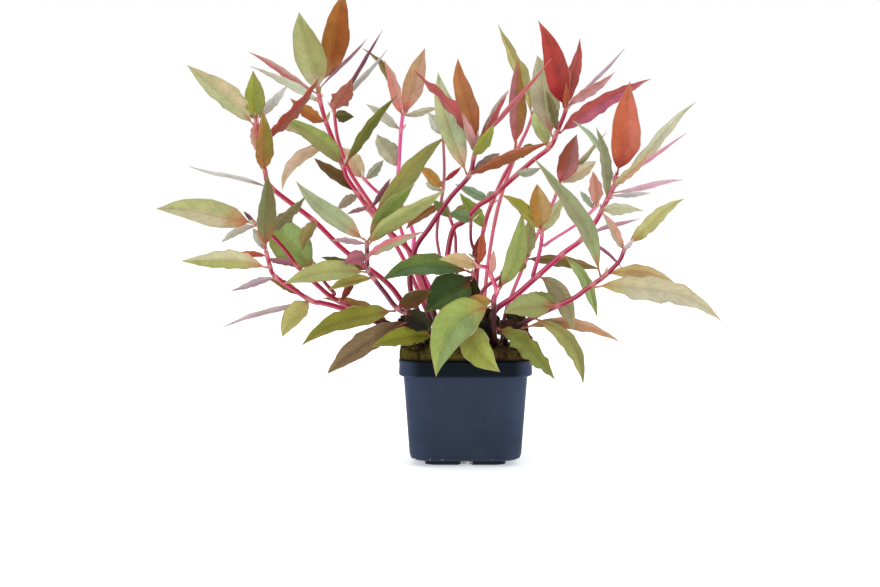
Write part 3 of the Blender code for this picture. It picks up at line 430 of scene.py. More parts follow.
          (493, 196, 6), (530, 163, 9), (550, 147, 10), (557, 132, 11), (563, 118, 12),
          (567, 106, 12)],
         [Leaf("top_right_red", (567, 108), (538, 20), -9, 17, 10, 2,
               (184, 68, 62), (174, 72, 64), wave=0.5, base=(170, 34, 48), own="red"),
          Leaf("right_pale_broad", (555, 137), (537, 55), 12, 20, 10, 0,
               (188, 184, 152), (178, 180, 140), wave=0.7, base=(196, 164, 140), own="beige"),
          Leaf("right_dark_small", (558, 131), (546, 90), -9, 8, 35, 0, (128, 118, 78), (110, 104, 60)),
          Leaf("right_green_back", (548, 149), (535, 112), 22, 13, 20, 0,
               (180, 198, 130), (172, 184, 120)),
          Leaf("top_right_red_narrow", (567, 106), (580, 38), 6, 10, 25, 0,
               (174, 88, 78), (172, 82, 76), base=(214, 110, 104)),
          Leaf("top_right_salmon", (567, 107), (615, 72), -6, 9, 40, 0,
               (218, 148, 138), (226, 178, 180), wave=0.7),
          Leaf("top_right_mauve", (566, 110), (625, 48), 12, 4, 55, 0,
               (200, 178, 188), (180, 160, 172), wave=0.4),
          Leaf("top_right_bud", (567, 106), (566, 82), -9, 4, 0, 0, (205, 110, 70), (190, 100, 65)),
          Leaf("right_dark_red_long", (557, 132), (651, 79), -10, 14, 35, 4,
               (182, 82, 76), (188, 100, 118), wave=0.9, own="dark_red"),
          Leaf("right_upper_pale", (517, 175), (541, 168), -7, 7, 30, 0,
               (190, 195, 170), (175, 180, 155)),
          Leaf("right_upper_grey", (497, 192), (486, 200), 9, 7, 30, 0,
               (180, 190, 160), (165, 172, 145))]),
    Stem("stem_back_right", (17, 26), (2.8, 2.0),
         [(484, 308, 38), (490, 250, 62), (500, 200, 74), (517, 152, 80), (527, 130, 82),
          (533, 114, 83)],
         [Leaf("back_right_olive", (533, 114), (498, 24), -6, 11, 30, 2,
               (187, 182, 116), (170, 165, 105), wave=1.4),
          Leaf("back_right_pale", (532, 116), (549, 84), 4, 9, 30, 0, (190, 205, 155), (178, 190, 142))]),
    Stem("stem_right_main", (18, -17), (3.8, 2.4),
         [(491, 332, -22), (495, 311, -26), (515, 296, -29), (531, 282, -30), (550, 265, -31),
          (565, 252, -32), (581, 240, -33), (596, 221, -34), (607, 200, -35), (614, 186, -36),
          (617, 176, -36)],
         [Leaf("right_orange", (617, 176), (630, 81), -6, 20, 5, -1,
               (194, 102, 68), (204, 114, 92), wave=0.4, base=(188, 76, 62), own="orange"),
          Leaf("right_olive_long", (615, 183), (696, 102), 12, 10, 40, 2,
               (202, 204, 172), (194, 190, 158), wave=0.9, own="beige"),
          Leaf("right_pink_narrow", (616, 180), (687, 133), -6, 5.5, 60, 0,
               (222, 160, 174), (206, 138, 156), wave=0.5),
          Leaf("right_small_salmon", (613, 188), (652, 148), -14, 8, 40, 0,
               (186, 176, 122), (190, 150, 118)),
          Leaf("right_mint", (614, 186), (572, 120), 14, 7, 50, 5, (175, 200, 160), (160, 185, 148)),
          Leaf("right_upright_grey", (607, 200), (596, 127), -9, 9, 35, 2,
               (150, 152, 118), (138, 138, 104)),
          Leaf("right_pink_long", (610, 194), (683, 180), 6, 5, 40, 1,
               (222, 180, 194), (212, 166, 180), wave=0.5),
          Leaf("right_grey_thin", (609, 196), (651, 193), 14, 4, 30, 0, (204, 200, 196), (192, 188, 184)),
          Leaf("right_pale_leaf", (601, 211), (643, 211), -8, 9, 30, 2, (210, 212, 174), (202, 204, 166)),
          Leaf("right_mauve_thin", (583, 238), (640, 219), 6, 4, 40, 2,
               (200, 154, 168), (190, 142, 156), wave=0.4),
          Leaf("right_thin_low", (581, 240), (625, 271), 6, 2.4, 0, 3, (170, 110, 130), (155, 100, 120)),
          Leaf("right_inner_droop", (538, 276), (574, 331), -8, 14, 25, 6,
               (174, 162, 122), (160, 152, 114)),
          Leaf("right_inner_green", (562, 254), (597, 317), 8, 9, 35, 5,
               (172, 194, 122), (158, 180, 110)),
          # painted shade: crown_right_shade is a near-black leaf that stands for shade in the crown
          Leaf("crown_right_shade", (494, 317), (478, 343), 4, 15, 0, 0,
               (34, 38, 20), (24, 26, 14), wave=1.2)]),
    Stem("stem_right_fork", None, (2.6, 2.0),
         [(533, 276, -27), (536, 265, -28), (540, 250, -28), (542, 235, -28), (541, 228, -28)],
         [Leaf("right_inner_orange", (541, 228), (537, 184), -4, 15, 15, 0,
               (182, 132, 62), (190, 155, 100), base=(170, 146, 74)),
          Leaf("right_inner_pale", (542, 234), (565, 192), 6, 9, 30, 0, (196, 198, 146), (190, 192, 140)),
          Leaf("right_inner_olive", (541, 230), (502, 195), -8, 10, 30, 2,
               (165, 160, 64), (162, 160, 78))]),
    Stem("stem_right_pale", None, (2.0, 1.7),
         [(545, 245, -24), (552, 240, -20), (580, 222, -10), (598, 205, -4)],
         [Leaf("right_salmon_small", (596, 207), (593, 171), 2, 11, 30, 0,
               (218, 158, 138), (212, 148, 130)),
          Leaf("right_mint_small", (593, 209), (580, 191), 6, 5, 30, 0,
               (180, 205, 175), (168, 190, 160))]),
    Stem("stem_right_back", (26, 16), (2.6, 2.0),
         [(508, 305, 22), (535, 240, 31), (552, 205, 35), (560, 182, 36)],
         [Leaf("right_back_red", (560, 182), (577, 134), -4, 15, 15, 0,
               (150, 76, 54), (176, 118, 116), base=(206, 108, 112)),
          Leaf("right_back_beige", (560, 184), (596, 161), 8, 11, 30, 0,
               (200, 185, 150), (188, 170, 135)),
          Leaf("right_back_grey", (560, 182), (607, 132), 14, 6, 50, 0, (165, 165, 120), (150, 150, 108)),
          # painted shade: crown_right_back is near black, for the shade low in the crown
          Leaf("crown_right_back", (508, 305), (529, 334), -5, 13, 15, 0, (62, 56, 30), (46, 40, 22))]),
    Stem("stem_right_low", (27, -24), (3.4, 2.3),
         [(508, 336, -32), (530, 319, -40), (572, 299, -47), (585, 290, -47), (602, 278, -45),
          (612, 269, -45), (620, 260, -45), (625, 248, -45)],
         [Leaf("right_grey_long", (602, 278), (533, 157), -6, 13, 25, 6,
               (152, 157, 114), (154, 152, 116), base=(150, 166, 104), own="grey_green"),
          Leaf("right_low_tan", (606, 275), (674, 282), 10, 11, 30, 5,
               (202, 177, 122), (188, 160, 108), base=(206, 186, 110)),
          Leaf("right_low_long", (593, 285), (722, 322), -9, 18, 25, 11,
               (196, 184, 148), (198, 190, 160), wave=1.2, base=(186, 168, 92), own="tan"),
          Leaf("right_low_salmon", (625, 250), (602, 212), -7, 8, 35, 0,
               (210, 150, 130), (180, 165, 140)),
          Leaf("right_low_olive", (625, 248), (684, 199), 4, 11, 25, 3,
               (190, 186, 124), (186, 180, 118), wave=1, base=(160, 140, 60), own="olive"),
          Leaf("right_low_bud", (624, 250), (634, 238), -5, 4, 20, 0, (220, 205, 200), (210, 190, 190)),
          Leaf("low_right_brown", (512, 333), (534, 339), 2, 11, 30, 0,
               (112, 50, 28), (84, 44, 26), wave=1.2),
          # painted shade: low_right_shade is near black, where the crown throws shade
          Leaf("low_right_shade", (512, 333), (499, 320), 2, 12, 20, 0, (70, 34, 24), (50, 30, 18)),
          Leaf("low_right_orange", (520, 326), (621, 343), 8, 11, 40, 9,
               (202, 160, 122), (188, 144, 106), base=(152, 134, 78), own="orange"),
          Leaf("low_right_droop", (532, 316), (583, 385), 12, 12, 25, 10, (160, 156, 92), (145, 140, 80)),
          Leaf("low_right_broad", (556, 305), (504, 313), -6, 17, 20, 2,
               (152, 156, 98), (148, 150, 92), wave=0.7, base=(140, 82, 62), own="pale_green"),
          Leaf("low_right_dark", (556, 305), (530, 292), 8, 11, 30, 0, (128, 138, 78), (112, 122, 66))]),
    Stem("stem_centre_low", (13, -9), (2.8, 2.0),
         [(480, 318, -10), (482, 292, -10), (500, 277, -9), (527, 258, -8)],
         [Leaf("inner_right_olive", (527, 258), (531, 215), -4, 11, 25, 0,
               (166, 166, 104), (160, 162, 106)),
          Leaf("inner_right_short", (526, 259), (508, 274), -6, 11, 20, 0,
               (152, 146, 62), (138, 130, 56)),
          Leaf("inner_right_brown", (527, 258), (601, 270), 12, 10, 35, 3,
               (137, 117, 62), (122, 104, 56))]),
    Stem("stem_front_right", (20, -31), (3.4, 2.3),
         [(494, 330, -35), (494, 311, -37), (494, 298, -38), (497, 291, -39), (492, 278, -41),
          (487, 268, -42), (476, 266, -43)],
         [Leaf("front_large_green", (494, 306), (436, 377), -16, 26, 10, 12,
               (154, 170, 90), (136, 154, 96), wave=0.6, base=(170, 160, 84), own="green"),
          Leaf("low_right_wavy", (494, 328), (555, 380), -8, 16, 30, 5,
               (124, 128, 56), (128, 136, 68), wave=1.6, own="olive"),
          Leaf("front_short_orange", (492, 301), (457, 314), 3, 12, 10, 2,
               (190, 140, 70), (160, 156, 80)),
          Leaf("front_inner_green", (497, 290), (522, 213), -8, 14, 20, -3,
               (156, 166, 96), (142, 152, 84), wave=0.5, own="green"),
          Leaf("front_inner_brown", (497, 291), (523, 230), 8, 10, 40, 0, (135, 110, 58), (120, 98, 50)),
          Leaf("front_salmon_small", (491, 276), (494, 250), -4, 5, 20, 0,
               (222, 156, 144), (214, 158, 146), base=(206, 84, 96)),
          Leaf("front_orange_small", (478, 266), (484, 232), 4, 7, 30, 0, (176, 90, 62), (180, 88, 64)),
          Leaf("front_tan", (476, 266), (438, 260), -4, 10, 25, 2, (206, 176, 130), (190, 170, 118))]),
    Stem("stem_front_left", (-17, -31), (3.4, 2.3),
         [(436, 336, -36), (415, 318, -43), (397, 308, -50), (385, 293, -53), (375, 280, -54),
          (368, 269, -55), (367, 250, -56), (367, 242, -56)],
         [Leaf("front_left_grey", (367, 242), (296, 181), -6, 13, 25, -2,
               (167, 176, 132), (162, 168, 130), wave=0.6, base=(208, 150, 110), own="grey_green"),
          Leaf("front_left_green", (367, 242), (415, 184), 6, 13, 30, 3,
               (144, 156, 84), (126, 142, 68), wave=0.6, base=(196, 150, 92), own="green"),
          Leaf("front_left_pale", (367, 246), (445, 190), -8, 13, 30, 3, (167, 172, 106), (152, 156, 94)),
          Leaf("front_mauve", (367, 256), (343, 264), -4, 10, 15, 1, (172, 102, 112), (158, 92, 102)),
          Leaf("front_pink", (368, 258), (424, 232), -10, 9, 40, 3,
               (215, 120, 130), (160, 160, 120), base=(226, 120, 140)),
          Leaf("front_narrow", (367, 244), (330, 241), 6, 5, 40, 1, (195, 160, 165), (180, 145, 150)),
          Leaf("left_low_broad", (369, 270), (283, 284), -6, 14, 25, 4,
               (172, 172, 106), (162, 164, 104), wave=0.7, own="olive"),
          Leaf("left_low_dark", (369, 270), (320, 257), 14, 7, 35, 0, (98, 92, 38), (92, 88, 40)),
          Leaf("left_low_small", (374, 278), (328, 290), 6, 8, 35, 2, (172, 162, 80), (160, 152, 78)),
          Leaf("low_left_olive", (397, 308), (301, 346), -10, 15, 25, 6,
               (134, 130, 46), (132, 128, 52), wave=1, base=(120, 126, 60), own="olive"),
          # painted shade: low_left_brown's near-black base stands for the shade it sits in
          Leaf("low_left_brown", (415, 318), (327, 374), 5, 15.5, 20, 4,
               (136, 114, 80), (132, 108, 78), wave=1, base=(26, 18, 12), own="bronze"),
          Leaf("crown_left_olive", (397, 308), (432, 291), 4, 12, 20, 1, (84, 66, 28), (88, 56, 26)),
          # painted shade: crown_left_grey is near black, for the shade in the crown
          Leaf("crown_left_grey", (404, 312), (431, 331), 2, 15, 15, 1,
               (44, 44, 24), (28, 26, 14), wave=1),
          Leaf("low_left_yellow", (434, 337), (371, 347), -12, 13, 25, 3,
               (142, 142, 42), (128, 128, 40), wave=1.2)]),
    Stem("stem_crown", (2, -22), (3.0, 2.2),
         [(470, 325, -25), (475, 300, -28), (473, 272, -32)],
         [Leaf("crown_green", (473, 272), (381, 281), -10, 15, 25, 8,
               (102, 122, 58), (84, 108, 66), wave=1, own="dark_green"),
          Leaf("crown_dark", (472, 283), (425, 313), -7, 26, 20, 3, (62, 82, 38), (72, 96, 46)),
          # painted shade: crown_olive is near black, for the shade in the crown
          Leaf("crown_olive", (473, 274), (461, 306), 3, 20, 15, 0, (62, 60, 26), (50, 48, 18)),
          Leaf("front_low_green", (469, 323), (500, 372), -18, 22, 20, -4,
               (174, 182, 90), (162, 168, 80), wave=0.6, base=(190, 136, 58), own="olive")]),
    Stem("stem_centre_thin", (4, -3), (2.2, 1.7),
         [(470, 308, -3), (476, 262, -4), (471, 240, -5), (471, 218, -6)],
         [Leaf("centre_small_green", (471, 222), (447, 214), -4, 9, 20, 2,
               (125, 150, 100), (112, 136, 90)),
          Leaf("centre_small_red", (475, 258), (480, 236), -6, 8, 30, 0, (132, 52, 32), (118, 46, 30))]),
    Stem("stem_back_short", (-2, 30), (2.2, 1.8),
         [(459, 308, 33), (456, 255, 36), (455, 234, 37), (449, 215, 38)],
         [Leaf("back_short_green", (449, 215), (433, 200), -2, 8, 20, 0, (130, 145, 80), (118, 132, 70)),
          Leaf("back_short_olive", (450, 218), (468, 204), 4, 8, 30, 0, (150, 145, 70), (136, 130, 62))]),
]
print(len(STEMS), "stems are planned")

# %% [markdown]
# ## Where a stem and its leaves are
#
# A stem's route is a handful of places. A real stem bends smoothly between its joints, so the drawn
# route passes through the same places on a soft curve. A leaf starts at the nearest place on its stem
# and bends from its stalk to its tip on a curve with one control point, like a bent ruler.

# %% Routes through space
DEPTH_SPREAD = 1.35  # the planned distances of stems are spread out that much
REACH_SPREAD = 1.8  # and those of leaf tips that much
SOIL_TOP = 79 * MM
SOCKET_DEPTH = 7 * MM
UPRIGHT_START = 3.5 * MM  # a rooted stem leaves the soil straight up, that far
NEAR_END = 0.95  # from this share of its last stretch on, a stem's end is near
STALK_SHARE = 0.05  # the share of a leaf's curve that is stalk
STALK_CLEAR = 1.15 * MM  # how far outside its stem the curve of a large leaf starts
END_SET_BACK = 1.6 * MM  # how far below a stem's end its last leaves start
LEAF_LIFT = 0.07  # how far a leaf's middle stands out towards the viewer, for its length
VIEW = Vector((0, 1, 0))
# the half towards this side takes the first colour, so the split is partly painted light and shade
FIRST_SIDE = Vector((-0.6, 0, 1))  # a leaf's first colour is on the side towards this


def held_in(value, low, high):
    return min(max(value, low), high)


def spot(column, row, behind):
    """The point seen at this column and row, that many millimetres behind the pot's middle."""
    line = ray(column, row)
    return EYE + line * ((behind * MM - EYE.y) / line.y)


def route_spot(place):
    column, row, behind = place
    return spot(column, row, behind * DEPTH_SPREAD)


def route_of(stem):
    """The stem's places in space, from inside the soil where it is rooted there."""
    points = [route_spot(place) for place in stem.route]
    if stem.root is None:
        return points
    x, y = stem.root[0] * MM, stem.root[1] * MM
    return [Vector((x, y, SOIL_TOP - SOCKET_DEPTH)), Vector((x, y, SOIL_TOP + UPRIGHT_START))] + points


def half_width(stem, share):
    low, high = stem.thick
    return (low + (high - low) * share) / 2 * MM


def nearest_on(stem, column, row):
    """The stem's point, direction and half width where it is seen nearest to this place, and whether
    that is its top end."""
    route = stem.route
    here = Vector((column, row))
    best = None
    for index in range(len(route) - 1):
        start, end = Vector(route[index][:2]), Vector(route[index + 1][:2])
        along = end - start
        share = held_in((here - start).dot(along) / along.length_squared, 0, 1)
        distance = (start + along * share - here).length
        if best is None or distance < best[0]:
            best = (distance, index, share)
    _, index, share = best
    low, high = route_spot(route[index]), route_spot(route[index + 1])
    rooted = 0 if stem.root is None else 2
    radius = half_width(stem, (index + share + rooted) / (len(route) - 1 + rooted))
    at_end = index == len(route) - 2 and share > NEAR_END
    return low.lerp(high, share), (high - low).normalized(), radius, at_end


def soft_route(points, steps):
    """Points on a curve that passes smoothly through all the places."""
    ends = [points[0] * 2 - points[1]] + points + [points[-1] * 2 - points[-2]]
    found = []
    for index in range(len(points) - 1):
        before, start, end, after = ends[index:index + 4]
        for step in range(steps):
            t = step / steps
            pull = (end - before) * 0.5 * t + (before * 2 - start * 5 + end * 4 - after) * 0.5 * t * t
            pull += (start * 3 - before - end * 3 + after) * 0.5 * t * t * t
            found.append((start + pull, index + t))
    return found + [(points[-1], len(points) - 1)]


class LeafPath:
    """The curve of a leaf's midrib, and the directions across and out of its blade."""

    def __init__(self, stem, leaf):
        middle, along, radius, at_end = nearest_on(stem, *leaf.at)
        self.tip = spot(*leaf.tip, middle.y / MM + leaf.reach * REACH_SPREAD)
        out = self.tip - middle
        if not at_end:
            out -= along * out.dot(along)
        out.normalize()
        self.root = middle + out * radius * 0.5
        if leaf.own:
            self.start = middle + out * (radius + STALK_CLEAR)
        else:
            self.start = middle - along * (END_SET_BACK if at_end else 0)
            self.root = self.start
        chord = self.tip - self.start
        above = chord.cross(VIEW).normalized()
        above = -above if above.z < 0 else above
        face = above.cross(chord).normalized()
        face = -face if face.y > 0 else face
        lift = above * (leaf.bow * MM) + face * (chord.length * LEAF_LIFT)
        self.control = (self.start + self.tip) / 2 + lift * 2
        self.length = chord.length
        self.turn = math.radians(leaf.turn)
        self.front = 1
        across, out = self.frame_at(0.5)
        self.front = -1 if out.y > 0 else 1
        self.first_side = 1 if across.dot(FIRST_SIDE) > 0 else -1

    def point(self, t):
        return self.start.lerp(self.control, t).lerp(self.control.lerp(self.tip, t), t)

    def frame_at(self, t, twist=0.0):
        """Directions across the blade and out of its face, that far along the midrib."""
        along = (self.control - self.start).lerp(self.tip - self.control, t).normalized()
        flat = along.cross(VIEW).normalized()
        turn = self.turn + twist
        across = flat * math.cos(turn) + along.cross(flat) * math.sin(turn)
        return across, across.cross(along) * self.front


print(len(STEMS), "stems and", sum(len(stem.leaves) for stem in STEMS), "leaves are laid out")

# %% [markdown]
# ## Drawing round pieces
#
# Stems, stalks and fibres are tubes. A tube starts as a disc, and its end face is drawn on from place
# to place: each time the ring is turned into the new direction, so it never twists, and scaled to the
# new width.

# %% Tubes by extrusion
def drawn_on(bm, face, keep):
    """Extrudes the face in place and returns the new one; the old one stays only as an end cap."""
    made = bmesh.ops.extrude_face_region(bm, geom=[face])["geom"]
    if not keep:
        bmesh.ops.delete(bm, geom=[face], context="FACES_ONLY")
    return [item for item in made if isinstance(item, bmesh.types.BMFace)][0]


def draw_tube(bm, points, radii, sides, paint=None):
    """A closed tube through the points. paint, if given, is called with each ring and its number."""
    made = bmesh.ops.create_circle(bm, cap_ends=True, segments=sides, radius=radii[0])
    ring = made["verts"]
    heading = (points[1] - points[0]).normalized()
    turned = Vector((0, 0, 1)).rotation_difference(heading).to_matrix().to_4x4()
    bmesh.ops.transform(bm, matrix=Matrix.Translation(points[0]) @ turned, verts=ring)
    if paint:
        paint(ring, 0)
    face = ring[0].link_faces[0]
    for index in range(1, len(points)):
        face = drawn_on(bm, face, keep=index == 1)
        ring = list(face.verts)
        ahead = points[min(index + 1, len(points) - 1)] - points[index - 1]
        turned = heading.rotation_difference(ahead.normalized()).to_matrix().to_4x4()
        share = radii[index] / radii[index - 1]
        moved = Matrix.Translation(points[index]) @ turned @ Matrix.Scale(share, 4)
        bmesh.ops.transform(bm, matrix=moved @ Matrix.Translation(-points[index - 1]), verts=ring)
        heading = ahead.normalized()
        if paint:
            paint(ring, index)


def volume_of(bm):
    return bm.calc_volume(signed=True)


def finished(bm, name, materials, sharp=None):
    """Turns the mesh outwards where needed and makes it an object that rides on the plant. No point
    of it is allowed outside the box of the solids."""
    if volume_of(bm) < 0:
        bmesh.ops.reverse_faces(bm, faces=bm.faces[:])
    for vert in bm.verts:
        vert.co = [held_in(part, low, high) for part, low, high in zip(vert.co, *CAD_BOX)]
    for face in bm.faces:
        face.smooth = True
    if sharp is not None:
        for edge in bm.edges:
            edge.smooth = len(edge.link_faces) != 2 or edge.calc_face_angle() < sharp
    mesh = bpy.data.meshes.new(name)
    bm.to_mesh(mesh)
    bm.free()
    for made_of in materials:
        mesh.materials.append(made_of)
    piece = bpy.data.objects.new(name, mesh)
    bpy.context.scene.collection.objects.link(piece)
    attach(piece, "root")
    return piece


print("tubes can be drawn")

# %% [markdown]
# ## The leaf's colours and surface
#
# A leaf of this plant has two colours, one on each side of its midrib, partly its own and partly
# painted light and shade of its folded halves. It blushes where it joins its stalk and is often
# another colour at its tip. We work out that colour for every point of the blade in Python and store
# it with the point, so one material serves green, bronze and red leaves alike. The material adds what
# is finer than the mesh: side veins that run forwards to the margin with the blade swelling between
# them, painted light and shade on those swellings, a groove along the midrib, warm and green blots, a
# thin reddish margin and a pale margin that is a painted highlight.

# %% Leaf materials
STALK_RED = to_linear((150, 34, 50))
MARGIN_RED = to_linear((130, 56, 44))
MARGIN_HIGHLIGHT = to_linear((226, 206, 180))
UNDER_ROSE = to_linear((176, 92, 98))
WARM_STAIN = (1.0, 0.88, 0.86)
GREEN_STAIN = (0.9, 0.98, 0.88)
PALER = (1.4, 1.38, 1.3)
VEIN_PAIRS = 9
VEIN_SLANT = 1.9  # how many veins a margin is ahead of the midrib
BLADE_RELIEF = 0.5 * MM
SKIN_RELIEF = 0.12 * MM


def blotted(chart, colour, mask, stain):
    """The colour with a stain laid over it where the mask is 1."""
    return chart.mix(mask, colour, stain, "MULTIPLY")


def leaf_material(name, underside):
    chart = Chart(name, Specular_IOR_Level=0.12)
    parts = chart.add("ShaderNodeSeparateXYZ", {}, {"Vector": chart.attribute("blade", "Vector")})
    along, seed = parts.out("X"), parts.out("Z")
    outward = abs(parts.out("Y") - 0.5) * 2
    clouds, blots, fine = chart.grain(85, 3.0), chart.grain(210, 3.0), chart.grain(560, 2.0)
    run = along * VEIN_PAIRS - outward * VEIN_SLANT + seed * 5 + clouds * 0.9
    gap = abs(run.fract() - 0.5) * 2
    inside = outward.ramp(0.05, 0.25) * (1 - outward.ramp(0.7, 0.95))
    vein = (1 - gap.ramp(0.0, 0.2)) * inside
    midrib = (1 - outward.ramp(0.01, 0.08)) * (1 - along.ramp(0.5, 0.9))
    tint = chart.attribute("tint")
    if underside:
        tint = chart.mix(0.3, tint, UNDER_ROSE)
    tint = blotted(chart, tint, blots.ramp(0.46, 0.7) * 0.5, WARM_STAIN)
    tint = blotted(chart, tint, (1 - blots.ramp(0.32, 0.5)) * 0.45, GREEN_STAIN)
    # painted light and shade: lighter on the swellings between the veins, darker along the veins
    swell_shading = gap.ramp(0.1, 0.8) * inside * 0.08 - vein * 0.03
    shade = clouds * 0.5 + blots * 0.22 + fine * 0.14 + swell_shading + 0.35
    tint = chart.darkened(tint, shade.held())
    tint = blotted(chart, tint, vein * fine.ramp(0.3, 0.6) * 0.6, PALER)
    if underside:
        tint = chart.mix(midrib * 0.5, tint, STALK_RED)
    else:
        tint = blotted(chart, tint, midrib * 0.7, PALER)
    margin = outward.ramp(0.9, 1.0)
    tint = chart.mix(margin * clouds.ramp(0.45, 0.6) * 0.45, tint, MARGIN_RED)
    # a painted highlight: a pale line along part of the margin
    tint = chart.mix(margin * (1 - clouds.ramp(0.42, 0.55)) * 0.3, tint, MARGIN_HIGHLIGHT)
    chart.feed("Base Color", tint)
    chart.feed("Roughness", clouds * 0.2 + 0.42 + vein * 0.05)
    swell = gap.ramp(0.0, 0.9) * 0.5 + fine * 0.05
    if underside:
        chart.relief(1 - swell + midrib * 0.6, BLADE_RELIEF, 0.25)
    else:
        chart.relief((1 - midrib) * swell, BLADE_RELIEF, 0.35)
    return chart.material


BLADE_TOP = leaf_material("leaf upper face", False)
BLADE_UNDER = leaf_material("leaf underside", True)


def skin_material(name, streaks, roughness):
    """The skin of stems and stalks: the stored colour, with fine streaks along them."""
    chart = Chart(name, Subsurface_Weight=0.05, Subsurface_Scale=0.001, Specular_IOR_Level=0.14)
    fine, soft = chart.grain(1400, 2.0), chart.grain(160, 2.0)
    shade = (fine * streaks + soft * 0.4 + 0.66).held()
    chart.feed("Base Color", chart.darkened(chart.attribute("tint"), shade))
    chart.feed("Roughness", soft * 0.2 + roughness)
    chart.relief(fine, SKIN_RELIEF, 0.5)
    return chart.material


STEM_SKIN = skin_material("stem skin", 0.24, 0.26)
STALK_SKIN = skin_material("leaf stalk skin", 0.2, 0.34)
print("leaf and stem materials are made")

# %% [markdown]
# ## One leaf
#
# The real blade is a third of a millimetre thick. It runs out into its short stalk in a long wedge,
# ends in a fine point, and is folded a little along its midrib, slightly domed on each side of it and
# wavy at the margin. We lay a grid, bend it onto the leaf's own curve, and give it its thickness
# afterwards. The stalk is a thin tube that runs on under the blade as its midrib.

# %% A blade's outline
BLADE_ROWS, BLADE_COLUMNS = 22, 8
BLADE_THICK = 0.32 * MM
TIP_WELD = 0.015 * MM
BLUSH = to_linear((180, 96, 66))
STALK_HALF = 0.62 * MM
STALK_UNDER = 0.3 * MM  # how far under the blade the stalk runs on as its midrib
STALK_FLARE = (1.7, 1.25)  # how much thicker its first two rings are
STALK_TAPER = 0.72  # the share of its width that it loses towards the tip
STALK_STEPS = (0.0, 0.04, 0.08, 0.12, 0.18, 0.26, 0.36, 0.48, 0.6, 0.72, 0.84)


def blade_share(u, base, tip):
    """The blade's half width along its length, as a share of its widest. A low base makes it full
    near the stalk, and a high tip draws its end out."""
    at = base / (base + tip)
    widest = at ** base * (1 - at) ** tip
    return max(u, 0) ** base * max(1 - u, 0) ** tip / widest


def rise(value, low, high):
    """A soft rise from 0 to 1 between low and high."""
    t = held_in((value - low) / (high - low), 0, 1)
    return t * t * (3 - 2 * t)


def mixed(one, other, share):
    return tuple(a + (b - a) * share for a, b in zip(one, other))


def new_mesh():
    """An empty mesh whose points can store a colour and their place on a blade."""
    bm = bmesh.new()
    bm.verts.layers.float_color.new("tint")
    bm.verts.layers.float_vector.new("blade")
    return bm


def layers_of(bm):
    return bm.verts.layers.float_color["tint"], bm.verts.layers.float_vector["blade"]


class Luck:
    """What differs from leaf to leaf, always the same for the same leaf."""

    def __init__(self, name):
        dice = random.Random(name)
        self.seed = dice.random()
        self.waves = dice.uniform(3.2, 5.2)
        self.phases = (dice.random(), dice.random())
        self.twist = dice.uniform(-0.35, 0.35)
        self.sway = dice.uniform(-0.02, 0.02)
        self.tip = dice.choice([(190, 150, 110), (170, 160, 90), (150, 96, 70), (206, 190, 150)])
        self.patch = dice.choice([(1.02, 0.8, 0.76), (0.82, 0.92, 0.78), (1.08, 1.02, 1.04)])
        self.base_power = dice.uniform(0.74, 0.92)
        self.tip_power = dice.uniform(1.05, 1.3)
        self.blush = dice.uniform(0.3, 0.75)


widest = [u for u in range(101) if blade_share(u / 100, 0.8, 1.15) > 0.999]
print("a blade is widest at", round(sum(widest) / len(widest)), "hundredths of its length")

# %% [markdown]
# Every point of a blade is given by u, from its foot to its tip, and s, from one margin to the other.
# One function finds where that point is and another finds its colour. A wavy leaf gets ruffles that
# grow towards the margin, and its width comes and goes along it.

# %% A blade's form and colours
LEAF_FOLD, DOME, RUFFLE = 0.28, 0.1, 0.17  # heights over the midrib, as shares of the half width
DRIFT, NICKS, LOBES = 0.08, 0.07, 0.11  # how far a margin strays, as shares of the half width
SLENDER_FROM, SLENDER_TO = 5, 9  # lengths over widths between which a leaf counts as slender


def blade_place(leaf, path, luck, u, s):
    """The point of the blade at u along it and s across it, from -1 to 1."""
    t = STALK_SHARE + (1 - STALK_SHARE) * u
    across, out = path.frame_at(t, luck.twist * (u - 0.35))
    slender = 0.25 * rise(path.length / (leaf.width * MM), SLENDER_FROM, SLENDER_TO)
    half = leaf.width / 2 * MM * blade_share(u, luck.base_power + slender, luck.tip_power + slender)
    side = 0.5 if s < 0 else 2.5
    ragged = 1 + DRIFT * noise.noise(Vector((u * 7, side, luck.seed * 50)))
    ragged += NICKS * leaf.wave * noise.noise(Vector((u * 19, side, luck.seed * 80)))
    ragged += LOBES * max(leaf.wave - 0.7, 0) * math.sin(2 * math.pi * (luck.waves * 1.7 * u + side))
    half = max(half * ragged, STALK_HALF * 0.9 * (1 - u), 0.01 * MM)
    phase = luck.phases[0 if s < 0 else 1]
    wave = math.sin(2 * math.pi * (luck.waves * u + phase)) * abs(s) ** 2.4 * half * RUFFLE * leaf.wave
    dome = math.sin(math.pi * abs(s)) * half * DOME
    fold = half * LEAF_FOLD * abs(s) * rise(u, 0, 0.12)
    sway = across * (math.sin(2 * math.pi * u) * luck.sway * path.length)
    return path.point(t) + across * (s * half) + out * (fold + dome + wave) + sway


def blade_tint(leaf, path, luck, u, s, point):
    """The blade's colour at that point, veins left out, with painted light and shade in its two halves."""
    first, second = to_linear(leaf.first), to_linear(leaf.second)
    # painted light and shade: the halves towards and away from FIRST_SIDE differ
    colour = mixed(second, first, rise(s * path.first_side, -0.1, 0.1))
    patch = noise.noise(point * 70 + Vector((luck.seed * 9, 0, 0)))
    stained = tuple(part * stain for part, stain in zip(colour, luck.patch))
    colour = mixed(colour, stained, max(0, patch))
    colour = mixed(colour, to_linear(luck.tip), rise(u, 0.8, 1.0) * 0.25)
    if leaf.base:
        ragged = noise.noise(point * 160) * 0.12
        colour = mixed(colour, to_linear(leaf.base), (1 - rise(u + ragged, 0.03, 0.3)) * 0.75)
    near = 1 - rise(u + abs(s) * 0.05, 0.0, 0.17)
    return mixed(colour, blush_of(leaf), near * luck.blush)


